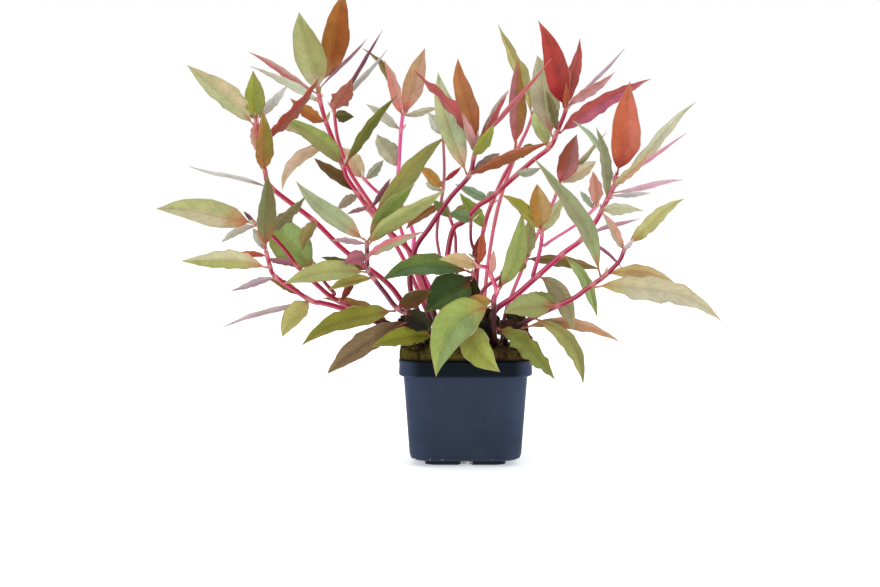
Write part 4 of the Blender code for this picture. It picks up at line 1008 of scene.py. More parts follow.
def blush_of(leaf):
    """The red of the stalk and of the blade's foot: orange in pale leaves, crimson in dark ones."""
    pale = (sum(leaf.first) / 3 - 90) / 80
    return mixed(STALK_RED, BLUSH, held_in(pale, 0, 1))


print("blades can be shaped and coloured")

# %% [markdown]
# The rows of the grid are laid closer at both ends, where the outline turns most. The points that meet
# at the tip are joined, and the thickness is added on the underside, so the rim is closed too. Faces
# that look the way the blade does get the upper material, all others the underside.

# %% Blade and stalk
def lay_blade(leaf, path, luck):
    """The blade, with its upper face and its underside."""
    bm = new_mesh()
    tint, blade = layers_of(bm)
    bmesh.ops.create_grid(bm, x_segments=BLADE_COLUMNS, y_segments=BLADE_ROWS, size=1)
    for vert in bm.verts:
        s, v = vert.co.x, (vert.co.y + 1) / 2
        u = v - math.sin(2 * math.pi * v) * 0.06
        vert.co = blade_place(leaf, path, luck, u, s)
        vert[tint] = (*blade_tint(leaf, path, luck, u, s, vert.co), 1)
        vert[blade] = (u, s * 0.5 + 0.5, luck.seed)
    bmesh.ops.remove_doubles(bm, verts=bm.verts[:], dist=TIP_WELD)
    bm.normal_update()
    middle = path.frame_at(0.5)[1]
    if sum(face.normal.dot(middle) for face in bm.faces) < 0:
        bmesh.ops.reverse_faces(bm, faces=bm.faces[:])
    bmesh.ops.solidify(bm, geom=bm.faces[:], thickness=BLADE_THICK)
    bm.normal_update()
    for face in bm.faces:
        u = sum(vert[blade].x for vert in face.verts) / len(face.verts)
        out = path.frame_at(STALK_SHARE + (1 - STALK_SHARE) * u)[1]
        face.material_index = 0 if face.normal.dot(out) > 0.1 else 1
    return bm


def lay_stalk(leaf, path, luck):
    """The stalk, and the midrib that it becomes under the blade."""
    bm = new_mesh()
    tint, blade = layers_of(bm)
    points = [path.root] if leaf.own else []
    steps = [0.0] * len(points) + list(STALK_STEPS)
    for t in STALK_STEPS:
        out = path.frame_at(t)[1]
        points.append(path.point(t) - out * STALK_UNDER * rise(t, 0.1, 0.25))
    slim = min(1, 0.45 + leaf.width / 20)
    radii = [STALK_HALF * slim * (1 - STALK_TAPER * rise(t, 0.1, 0.95)) for t in steps]
    radii[0] *= STALK_FLARE[0]
    radii[1] *= STALK_FLARE[1]
    middle = mixed(to_linear(leaf.first), to_linear(leaf.second), 0.5)
    red = mixed(blush_of(leaf), middle, 0.2)

    def paint(ring, index):
        colour = mixed(red, middle, rise(steps[index], 0.03, 0.3) * 0.8)
        for vert in ring:
            vert[tint] = (*colour, 1)
            vert[blade] = (steps[index], 0.5, luck.seed)

    draw_tube(bm, points, radii, 6, paint)
    for face in bm.faces:
        face.material_index = 2
    return bm


def take_in(whole, part):
    """Adds one mesh to another, turned outwards."""
    if volume_of(part) < 0:
        bmesh.ops.reverse_faces(part, faces=part.faces[:])
    carrier = bpy.data.meshes.new("carrier")
    part.to_mesh(carrier)
    part.free()
    whole.from_mesh(carrier)
    bpy.data.meshes.remove(carrier)


def add_leaf(whole, stem, leaf):
    """Draws the leaf into a mesh of several."""
    path, luck = LeafPath(stem, leaf), Luck(leaf.name)
    take_in(whole, lay_blade(leaf, path, luck))
    take_in(whole, lay_stalk(leaf, path, luck))


LEAF_MATERIALS = [BLADE_TOP, BLADE_UNDER, STALK_SKIN]
SHARP = math.radians(55)
print("a leaf is a grid of", BLADE_ROWS, "by", BLADE_COLUMNS, "faces on each side, and a stalk")

# %% [markdown]
# ## All the leaves
#
# The large leaves are separate pieces, each in place of its own solid. The small ones on a stem are
# one piece, in place of the small leaves that grow on the stem's solid.

# %% Leaves on every stem
dressed = []
for stem in STEMS:
    small = [leaf for leaf in stem.leaves if not leaf.own]
    for leaf in stem.leaves:
        if leaf.own:
            whole = new_mesh()
            add_leaf(whole, stem, leaf)
            piece = finished(whole, "blade_" + leaf.name, LEAF_MATERIALS, SHARP)
            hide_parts("leaf_" + leaf.name)
            dressed.append(piece)
    if small:
        whole = new_mesh()
        for leaf in small:
            add_leaf(whole, stem, leaf)
        piece = finished(whole, stem.name.replace("stem", "small_leaves"), LEAF_MATERIALS, SHARP)
        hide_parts(stem.name)
        dressed.append(piece)
triangles = sum(len(piece.data.loops) - 2 * len(piece.data.polygons) for piece in dressed)
print("the leaves have", triangles, "triangles")

# %% [markdown]
# ## The stems
#
# A stem is juicy and round, from dark crimson to pink, with two pale ribs along it that are painted
# highlights, placed by the direction of the view. It swells at each joint, where leaves grow and where
# it is paler, and small whitish buds and young leaves sit in the corners between leaf and stem. Near
# the soil it is painted dark brown, a painted shade where the leaves over it take all the light. A side
# branch starts inside the stem that bears it.

# %% Colours of the stems
CRIMSON = (182, 26, 62)
STEM_TONES = dict(
    left_middle=(156, 26, 50), left_fork=(140, 24, 46), left_low=(170, 34, 66), upper_left=(190, 34, 70),
    upper_left_back=(206, 68, 92), back_pink=(238, 96, 160), back_left=(204, 76, 112),
    back_thin=(176, 96, 104), back_right=(206, 96, 112), centre_dark=(142, 16, 50),
    centre_right=(190, 62, 86), centre_low=(170, 52, 60), centre_thin=(132, 30, 48),
    front_left=(92, 10, 34), front_right=(212, 62, 104), right_main=(190, 40, 82),
    right_fork=(218, 66, 116), right_pale=(232, 104, 148), right_back=(222, 108, 130),
    right_low=(150, 36, 58), right_upper=(178, 40, 66),
)
JOINT_PALE = to_linear((230, 168, 160))
BUD_PALE = to_linear((232, 214, 194))
RIB_HIGHLIGHT = to_linear((238, 168, 190))
# the brown of the painted shade on the stems' feet
SHADE_BROWN = to_linear((40, 18, 16))
YOUNG_LEAVES = [(200, 206, 178), (214, 150, 128), (176, 116, 130), (150, 160, 90), (222, 190, 180)]
DARK_BELOW, CLEAR_ABOVE = 95 * MM, 110 * MM  # heights between which painted shade darkens a stem
SHADED = {"stem_front_right": 12 * MM, "stem_right_main": 4 * MM}  # stems whose painted shade reaches that much higher up
print(len(STEM_TONES), "stems have a tone of their own, the others are crimson")

# %% [markdown]
# The skin's colour is worked out point by point, like the leaves' own, because it depends on how near
# a joint is, on the height over the soil, where painted shade darkens it, and on the side of the stem,
# where the painted highlights run.

# %% A stem's route and skin
PARENTS = {
    "stem_left_fork": "stem_left_middle", "stem_right_fork": "stem_right_main",
    "stem_right_pale": "stem_right_fork",
}
JOINT_REACH = 1.7 * MM
SKIN_SWELL, JOINT_SWELL = 1.16, 0.2
LOW_LIGHT, HIGHER_UP, MOTTLE = 0.57, 0.3, 0.16  # a stem's tone is darkest at its foot
JOINT_SHARE, SHADE_SHARE = 0.42, 0.94  # how strongly joints turn pale and painted shade turns feet brown
CURVE_STEPS = 8


def close_route(stem):
    """Close places along the stem's soft curve, each with its number among the route's places."""
    points = route_of(stem)
    if stem.name not in PARENTS:
        return soft_route(points, CURVE_STEPS)
    parent = [other for other in STEMS if other.name == PARENTS[stem.name]][0]
    bearing = nearest_on(parent, *stem.route[0][:2])[0]
    close = soft_route([bearing] + points, CURVE_STEPS)
    return [(point, max(number - 1, 0)) for point, number in close]


def rib_highlight_share(place, centre, heading):
    """How near a point of the skin is to one of the stem's two pale ribs, painted highlights, from 0 to
    1. One rib faces the viewer, turned a little to the side, so their place is set by the view."""
    across = heading.cross(VIEW).normalized()
    offset = place - centre
    angle = math.atan2(offset.dot(heading.cross(across)), offset.dot(across))
    return max(0, math.cos(2 * angle - 2.2)) ** 8


def skin_colour(stem, tone, centre, heading, share, near, place):
    """The skin's colour at a place, that share of the way up the stem and that near to a joint."""
    light = LOW_LIGHT + HIGHER_UP * rise(share, 0.05, 0.5) + MOTTLE * noise.noise(centre * 90)
    colour = mixed(tuple(part * light for part in tone), JOINT_PALE, near * JOINT_SHARE)
    # a painted highlight: two pale ribs whose place is set by the direction of the view
    highlight_weight = 0.3 + 0.4 * tone[0]
    colour = mixed(colour, RIB_HIGHLIGHT, rib_highlight_share(place, centre, heading) * highlight_weight)
    # painted shade: low on the stem, under the leaves, the skin turns dark brown
    rooted = 1 - rise(centre.z - SHADED.get(stem.name, 0), DARK_BELOW, CLEAR_ABOVE)
    return mixed(colour, SHADE_BROWN, rooted * SHADE_SHARE)


print("skins can be coloured")

# %% [markdown]
# A bud is a small sphere, drawn out and pointed, that leans out of its joint. A young leaf is the same
# form, longer and flat. Joints low down have only whitish scaly buds, and more of them.

# %% Buds at the joints
SCALY_BELOW = 128 * MM
BUD_SIZE = (0.5, 0.95)  # from the smallest to the largest, in millimetres
BUD_FORM = (0.62, 0.5, 1.7)  # half width, half thickness and half length, for its size
YOUNG_SIZE = (2.2, 4.4)
YOUNG_FORM = (0.3, 0.08, 1)
SCALY_SHARE = 1.4  # how much larger a scaly bud is


def add_bud(bm, joint, heading, dice, colour, shape):
    """A small pointed bud or young leaf that leans out of the joint. shape is its half width, half
    thickness and half length."""
    tint, blade = layers_of(bm)
    lean = Vector((dice.uniform(-1, 1), dice.uniform(-1, 0.3), dice.uniform(-0.2, 0.6)))
    out = (lean - heading * lean.dot(heading) + heading * 0.9).normalized()
    made = bmesh.ops.create_uvsphere(bm, u_segments=8, v_segments=6, radius=1)["verts"]
    for vert in made:
        vert.co.x *= 1 - 0.55 * vert.co.z
    turned = Vector((0, 0, 1)).rotation_difference(out).to_matrix().to_4x4()
    shaped = Matrix.Rotation(dice.uniform(0, 3.1), 4, "Z") @ Matrix.Diagonal((*shape, 1))
    place = Matrix.Translation(joint + out * shape[2] * 0.9)
    bmesh.ops.transform(bm, matrix=place @ turned @ shaped, verts=made)
    for vert in made:
        share = min((vert.co - joint).length / shape[2] / 2, 1)
        vert[tint] = (*mixed(JOINT_PALE, colour, rise(share, 0.1, 0.6)), 1)
        vert[blade] = (0, 0.5, 0)


def add_buds(bm, joints, dice, tone):
    """The buds and young leaves of all joints, and how many they are."""
    count = 0
    for joint, heading in joints:
        if joint.z < CLEAR_ABOVE:
            continue
        low_down = joint.z < SCALY_BELOW
        buds = dice.choice((1, 2, 2, 3)) + 2 * low_down
        for _ in range(buds):
            size = dice.uniform(*BUD_SIZE) * (SCALY_SHARE if low_down else 1) * MM
            bud = mixed(BUD_PALE, tone, dice.uniform(0, 0.6))
            add_bud(bm, joint, heading, dice, bud, [size * part for part in BUD_FORM])
        young_leaves = 0 if low_down else dice.choice((0, 1, 1, 2))
        for _ in range(young_leaves):
            long = dice.uniform(*YOUNG_SIZE) * MM
            young = to_linear(dice.choice(YOUNG_LEAVES))
            add_bud(bm, joint, heading, dice, young, [long * part for part in YOUNG_FORM])
        count += buds + young_leaves
    return count


print("buds can be added")

# %% [markdown]
# Each stem is one tube of many short steps, a little thicker at its joints, with its buds in the same
# mesh. It takes the place of the stem's solid.

# %% Drawing the stems
STEM_RING = 16


def draw_stem(stem):
    """Draws the skin of a stem with its buds, and returns how many buds there are."""
    joints = [nearest_on(stem, *leaf.at)[:2] for leaf in stem.leaves]
    close = close_route(stem)
    last = close[-1][1]
    tone = to_linear(STEM_TONES.get(stem.name.removeprefix("stem_"), CRIMSON))
    nearness = [
        max([math.exp(-((point - joint).length / JOINT_REACH) ** 2) for joint, _ in joints] or [0])
        for point, _ in close
    ]
    radii = [
        half_width(stem, number / last) * (SKIN_SWELL + JOINT_SWELL * near)
        for (_, number), near in zip(close, nearness)
    ]
    bm = new_mesh()
    tint, blade = layers_of(bm)

    def paint(ring, index):
        centre, number = close[index]
        heading = (close[min(index + 1, len(close) - 1)][0] - close[max(index - 1, 0)][0]).normalized()
        for vert in ring:
            shown = skin_colour(stem, tone, centre, heading, number / last, nearness[index], vert.co)
            vert[tint] = (*shown, 1)
            vert[blade] = (number / last, 0.5, 0)

    draw_tube(bm, [point for point, _ in close], radii, STEM_RING, paint)
    count = add_buds(bm, joints, random.Random(stem.name), tone)
    piece = finished(bm, stem.name + "_skin", [STEM_SKIN])
    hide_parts(stem.name)
    return count


print(len(STEMS), "stems are drawn, with", sum(draw_stem(stem) for stem in STEMS), "buds and young leaves")

# %% [markdown]
# ## The pot
#
# The nursery pot is blown from thin dark plastic: a square with rounded corners that narrows
# downwards, a rim band that stands out on a small step, and a set-back foot with a drain slot on each
# side. The tool for it draws a rounded square on from ring to ring, by half width and height.

# %% Rounded square forms
CORNER_SHARE = 0.3
CORNER_STEPS = 12
EDGE_STEPS = 3


def rounded_square(bm, half):
    """One square face with rounded corners, centred on the z axis."""
    made = bmesh.ops.create_grid(bm, x_segments=1, y_segments=1, size=half)
    bmesh.ops.bevel(
        bm, geom=made["verts"], offset=half * CORNER_SHARE, offset_type="OFFSET",
        affect="VERTICES", segments=CORNER_STEPS, profile=0.5, material=-1,
    )
    bm.faces.ensure_lookup_table()
    return bm.faces[0]


def raise_face(bm, face, half, z, new_half, new_z, keep=False):
    """Draws the face on to another width and height, and returns the face at the far end."""
    end = drawn_on(bm, face, keep)
    corners = list(end.verts)
    share = new_half / half
    bmesh.ops.scale(bm, vec=(share, share, 1), verts=corners)
    bmesh.ops.translate(bm, vec=(0, 0, new_z - z), verts=corners)
    return end


def lathe_square(profile):
    """A closed form whose rounded square sections have these half widths and heights."""
    bm = bmesh.new()
    half, z = profile[0]
    face = rounded_square(bm, half)
    bmesh.ops.translate(bm, vec=(0, 0, z), verts=bm.verts[:])
    for index, (new_half, new_z) in enumerate(profile[1:]):
        face = raise_face(bm, face, half, z, new_half, new_z, keep=index == 0)
        half, z = new_half, new_z
    return bm


def softened(corners, radius):
    """The profile with each of its corners rounded."""
    rounded = [corners[0]]
    for before, corner, after in zip(corners, corners[1:], corners[2:]):
        here = Vector(corner)
        start, end = Vector(before) - here, Vector(after) - here
        reach = min(radius, start.length * 0.45, end.length * 0.45)
        first, last = here + start.normalized() * reach, here + end.normalized() * reach
        for step in range(EDGE_STEPS + 1):
            t = step / EDGE_STEPS
            rounded.append(tuple(first.lerp(here, t).lerp(here.lerp(last, t), t)))
    return rounded + [corners[-1]]


print("a rounded square has", 4 * (CORNER_STEPS + 1), "corners")

# %% [markdown]
# The outline runs up the outside, over the rim and down the inside, so the walls get their real
# thickness. Its corners are rounded a little, as moulded edges are.

# %% The pot's walls
POT_HEIGHT = 72 * MM
RIM_HALF = 45 * MM
RIM_BAND = 10.5 * MM
BODY_TOP_HALF = 41.8 * MM
BODY_LOW_HALF = 38.0 * MM
FOOT_HALF = 27.5 * MM
FOOT_HEIGHT = 3.4 * MM
WALL = 1.5 * MM
EDGE_RADIUS = 0.7 * MM
POT_SHARP = math.radians(40)

rim_low = POT_HEIGHT - RIM_BAND
outline = [
    (FOOT_HALF, 0), (FOOT_HALF, FOOT_HEIGHT), (BODY_LOW_HALF - 4 * MM, FOOT_HEIGHT),
    (BODY_LOW_HALF - 1 * MM, FOOT_HEIGHT + 1.6 * MM), (BODY_LOW_HALF, FOOT_HEIGHT + 5 * MM),
    (BODY_TOP_HALF, rim_low - 1 * MM), (RIM_HALF - 0.8 * MM, rim_low),
    (RIM_HALF, rim_low + 0.8 * MM), (RIM_HALF - 0.3 * MM, POT_HEIGHT - 2.4 * MM),
    (RIM_HALF, POT_HEIGHT - 1.8 * MM), (RIM_HALF, POT_HEIGHT),
    (RIM_HALF - WALL, POT_HEIGHT), (RIM_HALF - WALL - 0.4 * MM, rim_low + WALL),
    (BODY_TOP_HALF - WALL, rim_low), (BODY_LOW_HALF - WALL, FOOT_HEIGHT + 5 * MM),
    (BODY_LOW_HALF - 3 * MM, FOOT_HEIGHT + 2 * WALL),
]
pot = finished(lathe_square(softened(outline, EDGE_RADIUS)), "pot_walls", [], POT_SHARP)
print("the pot's outline has", len(outline), "corners before they are rounded")

# %% [markdown]
# The drain slots are cut out of the foot's four sides with four blocks.

# %% Drain slots
NOTCH = (9 * MM, 8 * MM, 2.2 * MM)  # a slot's width, depth and height

slots = bmesh.new()
for quarter in range(4):
    made = bmesh.ops.create_cube(slots, size=1)["verts"]
    bmesh.ops.scale(slots, vec=(NOTCH[0], NOTCH[1], 2 * NOTCH[2]), verts=made)
    bmesh.ops.translate(slots, vec=(0, -FOOT_HALF, 0), verts=made)
    turned = Matrix.Rotation(math.pi / 2 * quarter, 3, "Z")
    bmesh.ops.rotate(slots, cent=(0, 0, 0), matrix=turned, verts=made)
cutter_mesh = bpy.data.meshes.new("drain_slot_shapes")
slots.to_mesh(cutter_mesh)
slots.free()
cutter = bpy.data.objects.new("drain_slot_shapes", cutter_mesh)
bpy.context.scene.collection.objects.link(cutter)
cut = pot.modifiers.new("drain slots", "BOOLEAN")
cut.operation, cut.solver, cut.object = "DIFFERENCE", "EXACT", cutter
bpy.context.view_layer.update()
evaluated = pot.evaluated_get(bpy.context.evaluated_depsgraph_get())
walls = bpy.data.meshes.new_from_object(evaluated)
pot.modifiers.clear()
pot.data = walls
bpy.data.objects.remove(cutter, do_unlink=True)
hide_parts("pot")
print("the pot's walls have", len(walls.polygons), "faces")

# %% [markdown]
# The plastic is dark slate blue, half matt, with the faint pebbling and drawn streaks of cheap
# moulding. It is paler towards its left and right sides, a painted highlight along its edges. The rim's
# middle is painted almost black, a painted shadow of the leaves that hang over it, its top is a little
# darker, and there is some dust low down.

# %% The pot's plastic
POT_GRAIN = 0.08 * MM
SLATE = to_linear((46, 54, 71))
SLATE_DEEP = to_linear((7, 13, 20))
SLATE_HIGHLIGHT = to_linear((62, 74, 98))
DUST = to_linear((92, 98, 108))

chart = Chart("slate pot plastic", Specular_IOR_Level=0.06)
place = chart.place()
parts = chart.add("ShaderNodeSeparateXYZ", {}, {"Vector": place})
height, sideways = parts.out("Z"), abs(parts.out("X") - 1 * MM)
clouds = chart.grain(38, 3.0)
pebbles = chart.grain(1500, 2.0)
stretched = chart.add("ShaderNodeMapping", {}, {"Vector": place, "Scale": (260, 260, 6)}).out(0)
streaks = chart.grain(1.0, 2.0, stretched)
colour = chart.mix(height.ramp(0, 40 * MM) * 0.18 + 0.82, SLATE_DEEP, SLATE)
# a painted highlight: paler towards the left and right sides
colour = chart.mix(sideways.ramp(20 * MM, 41 * MM) * 0.5, colour, SLATE_HIGHLIGHT)
# a painted shadow of the overhanging leaves: the rim's middle is near black; its top is a little darker
rim_leaf_shadow = height.ramp(rim_low - 1 * MM, rim_low + 1 * MM) * (1 - sideways.ramp(30 * MM, 42.5 * MM))
lip = height.ramp(POT_HEIGHT - 2.5 * MM, POT_HEIGHT - 0.5 * MM)
colour = chart.mix(rim_leaf_shadow * 0.93 + lip * 0.05, colour, SLATE_DEEP)
colour = chart.mix(clouds.ramp(0.4, 0.7) * 0.14, colour, SLATE_DEEP)
dust = (1 - height.ramp(4 * MM, 20 * MM)) * clouds.ramp(0.45, 0.8) * 0.2
dust = dust + streaks.ramp(0.62, 0.8) * 0.06
chart.feed("Base Color", chart.mix(dust, colour, DUST))
chart.feed("Roughness", 0.34 + clouds * 0.16 + streaks * 0.08 + dust * 0.3)
chart.relief(pebbles * 0.6 + streaks * 0.4, POT_GRAIN, 0.6)
pot.data.materials.clear()
pot.data.materials.append(chart.material)
print("the plastic is made")

# %% [markdown]
# ## The soil plug
#
# The plug is peat and mineral wool that has grown over the rim, mossy at the left and bare brown peat
# in a mound at the right, from where it slopes down to the rim. One function gives the height of its
# top at any place, and the crumbs lie on the same height.

# %% The plug's surface
SOIL_HALF = 44.4 * MM
SOIL_LUMPS = 0.9 * MM
SOIL_MOUND, MOUND_AT, MOUND_REACH = 3 * MM, (27 * MM, -22 * MM), 15 * MM
SOIL_SLOPE, SLOPE_FROM, SLOPE_REACH = 5.5 * MM, 26 * MM, 18 * MM
SHOULDER = 1.5 * MM
SIDE_PUSH = 0.7 * MM
NOISE_SEED = 3

noise.seed_set(NOISE_SEED)  # without a seed, noise_vector differs from run to run


def soil_height(x, y):
    """Height of the lumpy top of the plug, with a mound towards the right and the front, beyond
    which it slopes down to the rim."""
    waves = math.sin(x * 190 + 1.1) * math.cos(y * 230 + 0.4) + 0.6 * math.sin(x * 90 - y * 140)
    mound = math.exp(-((x - MOUND_AT[0]) ** 2 + (y - MOUND_AT[1]) ** 2) / MOUND_REACH ** 2)
    slope = held_in((x - SLOPE_FROM) / SLOPE_REACH, 0, 1) ** 1.5
    height = SOIL_TOP + SOIL_LUMPS * waves + SOIL_MOUND * mound - SOIL_SLOPE * slope
    return max(height, POT_HEIGHT + SHOULDER)


def settle(vert, low):
    """Moves a point of the plug's top or side to its height there, and roughens it."""
    x, y, z = vert.co
    level = (z - low) / (SOIL_TOP - low)
    inner = rise(SOIL_HALF - max(abs(x), abs(y)), 0, 3 * MM)
    rough = noise.fractal(vert.co * 260, 1.0, 2.0, 4)
    top = soil_height(x, y) - SHOULDER / 2 * (1 - inner) + rough * SOIL_LUMPS * (0.3 + inner)
    vert.co.z = low + (top - low) * level
    push = noise.noise_vector(vert.co * 330) * SIDE_PUSH * min(level * 3, 1)
    vert.co.x += push.x
    vert.co.y += push.y


print("the plug's middle is", round(soil_height(0, 0) / MM, 1), "mm high")

# %% [markdown]
# We draw the form of the plug's solid with many more rings, and settle each point of its top and of
# the side over the rim. The side is divided upright too, so it can be rough.

# %% The plug
GAP = 0.3 * MM
SIDE_RINGS, TOP_RINGS = 5, 27
RING_STEP = 1.58 * MM
SIDE_CUTS = 15

low_half = BODY_LOW_HALF - WALL - GAP
top_half = BODY_TOP_HALF - WALL - GAP
rim_top = POT_HEIGHT + 0.4 * MM
bm = lathe_square([
    (BODY_LOW_HALF - 3 * MM - 2 * GAP, FOOT_HEIGHT + 2 * WALL + GAP),
    (low_half, FOOT_HEIGHT + 5 * MM + GAP),
    (top_half, POT_HEIGHT - RIM_BAND), (top_half + 2.6 * MM, rim_top), (SOIL_HALF, rim_top),
])
bm.faces.ensure_lookup_table()
top = max(bm.faces, key=lambda face: face.calc_center_median().z)
half, z = SOIL_HALF, rim_top
for _ in range(SIDE_RINGS):
    top = raise_face(bm, top, half, z, half, z + (SOIL_TOP - rim_top) / SIDE_RINGS)
    z += (SOIL_TOP - rim_top) / SIDE_RINGS
for _ in range(TOP_RINGS):
    top = raise_face(bm, top, half, z, half - RING_STEP, z)
    half -= RING_STEP
bmesh.ops.poke(bm, faces=[top])
sides = [
    edge for edge in bm.edges
    if edge.calc_length() > 3 * MM and min(vert.co.z for vert in edge.verts) > POT_HEIGHT
]
bmesh.ops.subdivide_edges(bm, edges=sides, cuts=SIDE_CUTS, use_grid_fill=True)
for vert in bm.verts:
    if vert.co.z > rim_top + 0.1 * MM:
        settle(vert, rim_top)
bmesh.ops.triangulate(bm, faces=[face for face in bm.faces if len(face.verts) > 4])
soil = finished(bm, "soil_plug_dressed", [])
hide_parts("soil_plug")
print("the plug has", len(soil.data.polygons), "faces")

# %% [markdown]
# Crumbs of peat lie all over the plug. Each is a small ball, dented with noise, flattened and turned.

# %% Crumbs
CRUMBS, CRUMB_SPREAD = 480, 42 * MM
CRUMB_SIZE = (0.5, 1.6)  # radii in millimetres, from the smallest to the largest

dice = random.Random("crumbs")
crumbs = bmesh.new()
for number in range(CRUMBS):
    x, y = dice.uniform(-1, 1) * CRUMB_SPREAD, dice.uniform(-1, 1) * CRUMB_SPREAD
    radius = dice.uniform(*CRUMB_SIZE) * MM
    made = bmesh.ops.create_icosphere(crumbs, subdivisions=1, radius=radius)["verts"]
    for vert in made:
        vert.co *= 1 + 0.35 * noise.noise(vert.co * 900 + Vector((number, 0, 0)))
    squash = Matrix.Diagonal((1, dice.uniform(0.6, 1), dice.uniform(0.45, 0.9), 1))
    turned = Matrix.Rotation(dice.uniform(0, 6.28), 4, "Z")
    turned = turned @ Matrix.Rotation(dice.uniform(-0.5, 0.5), 4, "X")
    placed = Matrix.Translation((x, y, soil_height(x, y) + 0.2 * MM))
    bmesh.ops.transform(crumbs, matrix=placed @ turned @ squash, verts=made)
crumb_piece = finished(crumbs, "peat_crumbs", [])
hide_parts("soil_plug")
print("the crumbs have", len(crumb_piece.data.polygons), "faces")

# %% [markdown]
# Short fibres of moss and wool stand out between the crumbs: thin tubes that bend over.

# %% Fibres
FIBRES, FIBRE_SPREAD = 320, 43 * MM
FIBRE_LENGTH, FIBRE_HALF = (2, 6), (0.1, 0.28)  # in millimetres, from the least to the most

fibres = bmesh.new()
for _ in range(FIBRES):
    x, y = dice.uniform(-1, 1) * FIBRE_SPREAD, dice.uniform(-1, 1) * FIBRE_SPREAD
    start = Vector((x, y, soil_height(x, y) - 0.5 * MM))
    lean = Vector((dice.uniform(-1, 1), dice.uniform(-1, 1), dice.uniform(0.15, 1.2))).normalized()
    reach = dice.uniform(*FIBRE_LENGTH) * MM
    bend = Vector((dice.uniform(-1, 1), dice.uniform(-1, 1), -0.6)) * reach * 0.35
    points = [start, start + lean * reach * 0.5 + bend * 0.25, start + lean * reach + bend]
    half = dice.uniform(*FIBRE_HALF) * MM
    draw_tube(fibres, points, [half, half * 0.8, half * 0.3], 4)
fibre_piece = finished(fibres, "moss_and_fibres", [])
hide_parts("soil_plug")
print("the fibres have", len(fibre_piece.data.polygons), "faces")

# %% [markdown]
# Some white specks of grit have stuck to the pot's lower edge, and a pale lump sits at the drain slot
# at the front.

# %% Specks
SPECK_PLACES = [(-34, 5.6), (-24, 4.9), (-16, 4.7), (-15, 5.2), (18, 4.8), (31, 5.5)]  # x and z
SPECK_FRONT = -(BODY_LOW_HALF - 0.8 * MM)
SPECK_SIZE = (0.16, 0.4)  # radii in millimetres
LUMP_SIZE = (4.3 * MM, 1.6 * MM, 1.5 * MM)
LUMP_AT = (0.5 * MM, -FOOT_HALF - 1.1 * MM, 2.1 * MM)

specks = bmesh.new()
for x, z in SPECK_PLACES:
    radius = dice.uniform(*SPECK_SIZE) * MM
    made = bmesh.ops.create_icosphere(specks, subdivisions=1, radius=radius)["verts"]
    bmesh.ops.translate(specks, vec=(x * MM, SPECK_FRONT, z * MM), verts=made)
made = bmesh.ops.create_icosphere(specks, subdivisions=2, radius=1)["verts"]
bmesh.ops.scale(specks, vec=LUMP_SIZE, verts=made)
for vert in made:
    vert.co *= 1 + 0.5 * noise.noise(vert.co * 700)
bmesh.ops.translate(specks, vec=LUMP_AT, verts=made)
speck_piece = finished(specks, "white_specks", [])
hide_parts("pot")
print("there are", len(SPECK_PLACES), "specks and a lump")

# %% [markdown]
# Peat is dark brown with darker cracks, the moss over it is olive, and both carry lighter threads of
# mineral wool. The cracks run upright where the plug's side shows.

# %% The plug's colours
SOIL_GRAIN, GRIT_GRAIN = 0.6 * MM, 0.2 * MM
PEAT = to_linear((72, 47, 28))
PEAT_DARK = to_linear((26, 19, 13))
MOSS = to_linear((86, 80, 30))
WOOL = to_linear((116, 98, 58))
GRIT = to_linear((226, 228, 222))
GRIT_DARK = to_linear((96, 100, 98))


def soil_material(name, moss_share, tone):
    chart = Chart(name, Specular_IOR_Level=0.06)
    place = chart.place()
    parts = chart.add("ShaderNodeSeparateXYZ", {}, {"Vector": place})
    sideways, level = parts.out("X"), parts.out("Z")
    clouds, lumps, fine = chart.grain(90, 3.0), chart.grain(420, 3.0), chart.grain(1600, 2.0)
    upright = chart.add("ShaderNodeMapping", {}, {"Vector": place, "Scale": (240, 240, 22)}).out(0)
    cracks = chart.grain(1.0, 2.0, upright)
    moss = clouds.ramp(0.4, 0.6) * 0.5 + (1 - sideways.ramp(-12 * MM, 16 * MM)) * 0.6
    colour = chart.mix(lumps.ramp(0.35, 0.7), PEAT_DARK, PEAT)
    colour = chart.mix((moss * moss_share).held() * (lumps * 0.6 + 0.5).held(), colour, MOSS)
    colour = chart.mix(fine.ramp(0.62, 0.78) * 0.35, colour, tone)
    colour = chart.mix(cracks.ramp(0.58, 0.66) * 0.75, colour, PEAT_DARK)
    # painted shade: the plug turns near black just above the rim, where it meets the pot
    rim_gap_shade = 1 - level.ramp(POT_HEIGHT + 0.8 * MM, POT_HEIGHT + 2.6 * MM)
    colour = chart.mix(rim_gap_shade * 0.85, colour, PEAT_DARK)
    chart.feed("Base Color", colour)
    chart.feed("Roughness", 0.8 + fine * 0.2)
    chart.relief(lumps * 0.6 + fine * 0.4, SOIL_GRAIN, 0.8)
    return chart.material


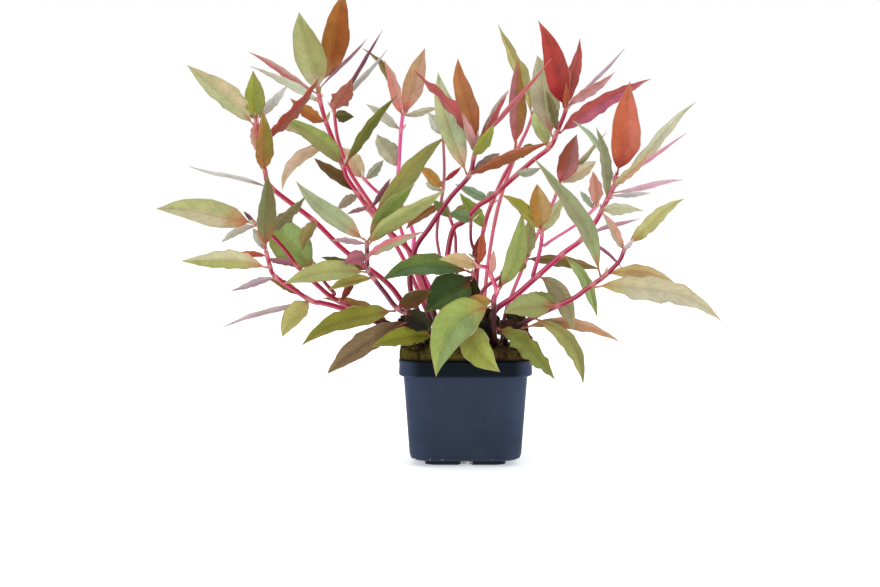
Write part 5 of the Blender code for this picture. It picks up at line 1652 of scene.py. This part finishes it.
for piece, moss_share, tone in ((soil, 0.9, WOOL), (crumb_piece, 0.45, WOOL), (fibre_piece, 1.0, MOSS)):
    piece.data.materials.append(soil_material(piece.name + " finish", moss_share, tone))
chart = Chart("white grit", Specular_IOR_Level=0.2)
lumps = chart.grain(800, 2.0)
chart.feed("Base Color", chart.mix(lumps.ramp(0.36, 0.5), GRIT_DARK, GRIT))
chart.feed("Roughness", 0.7 + lumps * 0.2)
chart.relief(chart.grain(1800, 2.0), GRIT_GRAIN)
speck_piece.data.materials.append(chart.material)
print("the plug is coloured")

# %% [markdown]
# ## The studio
#
# The picture was taken in a bright white tent: light comes from all round and a little more from
# above, and the floor is white and lit, so the pot hardly casts a shadow.

# %% Floor, sky and lamps
FLOOR_HALF = 4
LIT_SPOT = Vector((0, 0, 0.16))

bm = bmesh.new()
bmesh.ops.create_grid(bm, x_segments=1, y_segments=1, size=FLOOR_HALF)
floor_mesh = bpy.data.meshes.new("studio_floor")
bm.to_mesh(floor_mesh)
bm.free()
floor = bpy.data.objects.new("studio_floor", floor_mesh)
bpy.context.scene.collection.objects.link(floor)
chart = Chart(
    "white floor", Base_Color=(0.9, 0.93, 0.97, 1), Roughness=0.6,
    Emission_Color=(0.95, 0.98, 1, 1), Emission_Strength=0.42,
)
floor.data.materials.append(chart.material)

sky = bpy.data.worlds.new("white tent")
sky.use_nodes = True
sky.node_tree.nodes["Background"].inputs["Color"].default_value = (1, 1, 1, 1)
sky.node_tree.nodes["Background"].inputs["Strength"].default_value = 1.0
bpy.context.scene.world = sky
bpy.context.scene.view_settings.view_transform = "Standard"


def lamp(name, place, size, power):
    """A round soft lamp that looks at the middle of the plant. size is in metres, power in watts."""
    light = bpy.data.lights.new(name, "AREA")
    light.shape, light.size, light.energy = "DISK", size, power
    made = bpy.data.objects.new(name, light)
    made.location = place
    made.rotation_euler = (LIT_SPOT - Vector(place)).to_track_quat("-Z", "Y").to_euler()
    bpy.context.scene.collection.objects.link(made)


lamp("top_lamp", (-0.2, 0.1, 1.3), 0.6, 6)
lamp("side_lamp", (0.9, -0.7, 0.7), 0.6, 1.5)
print("the studio is lit")
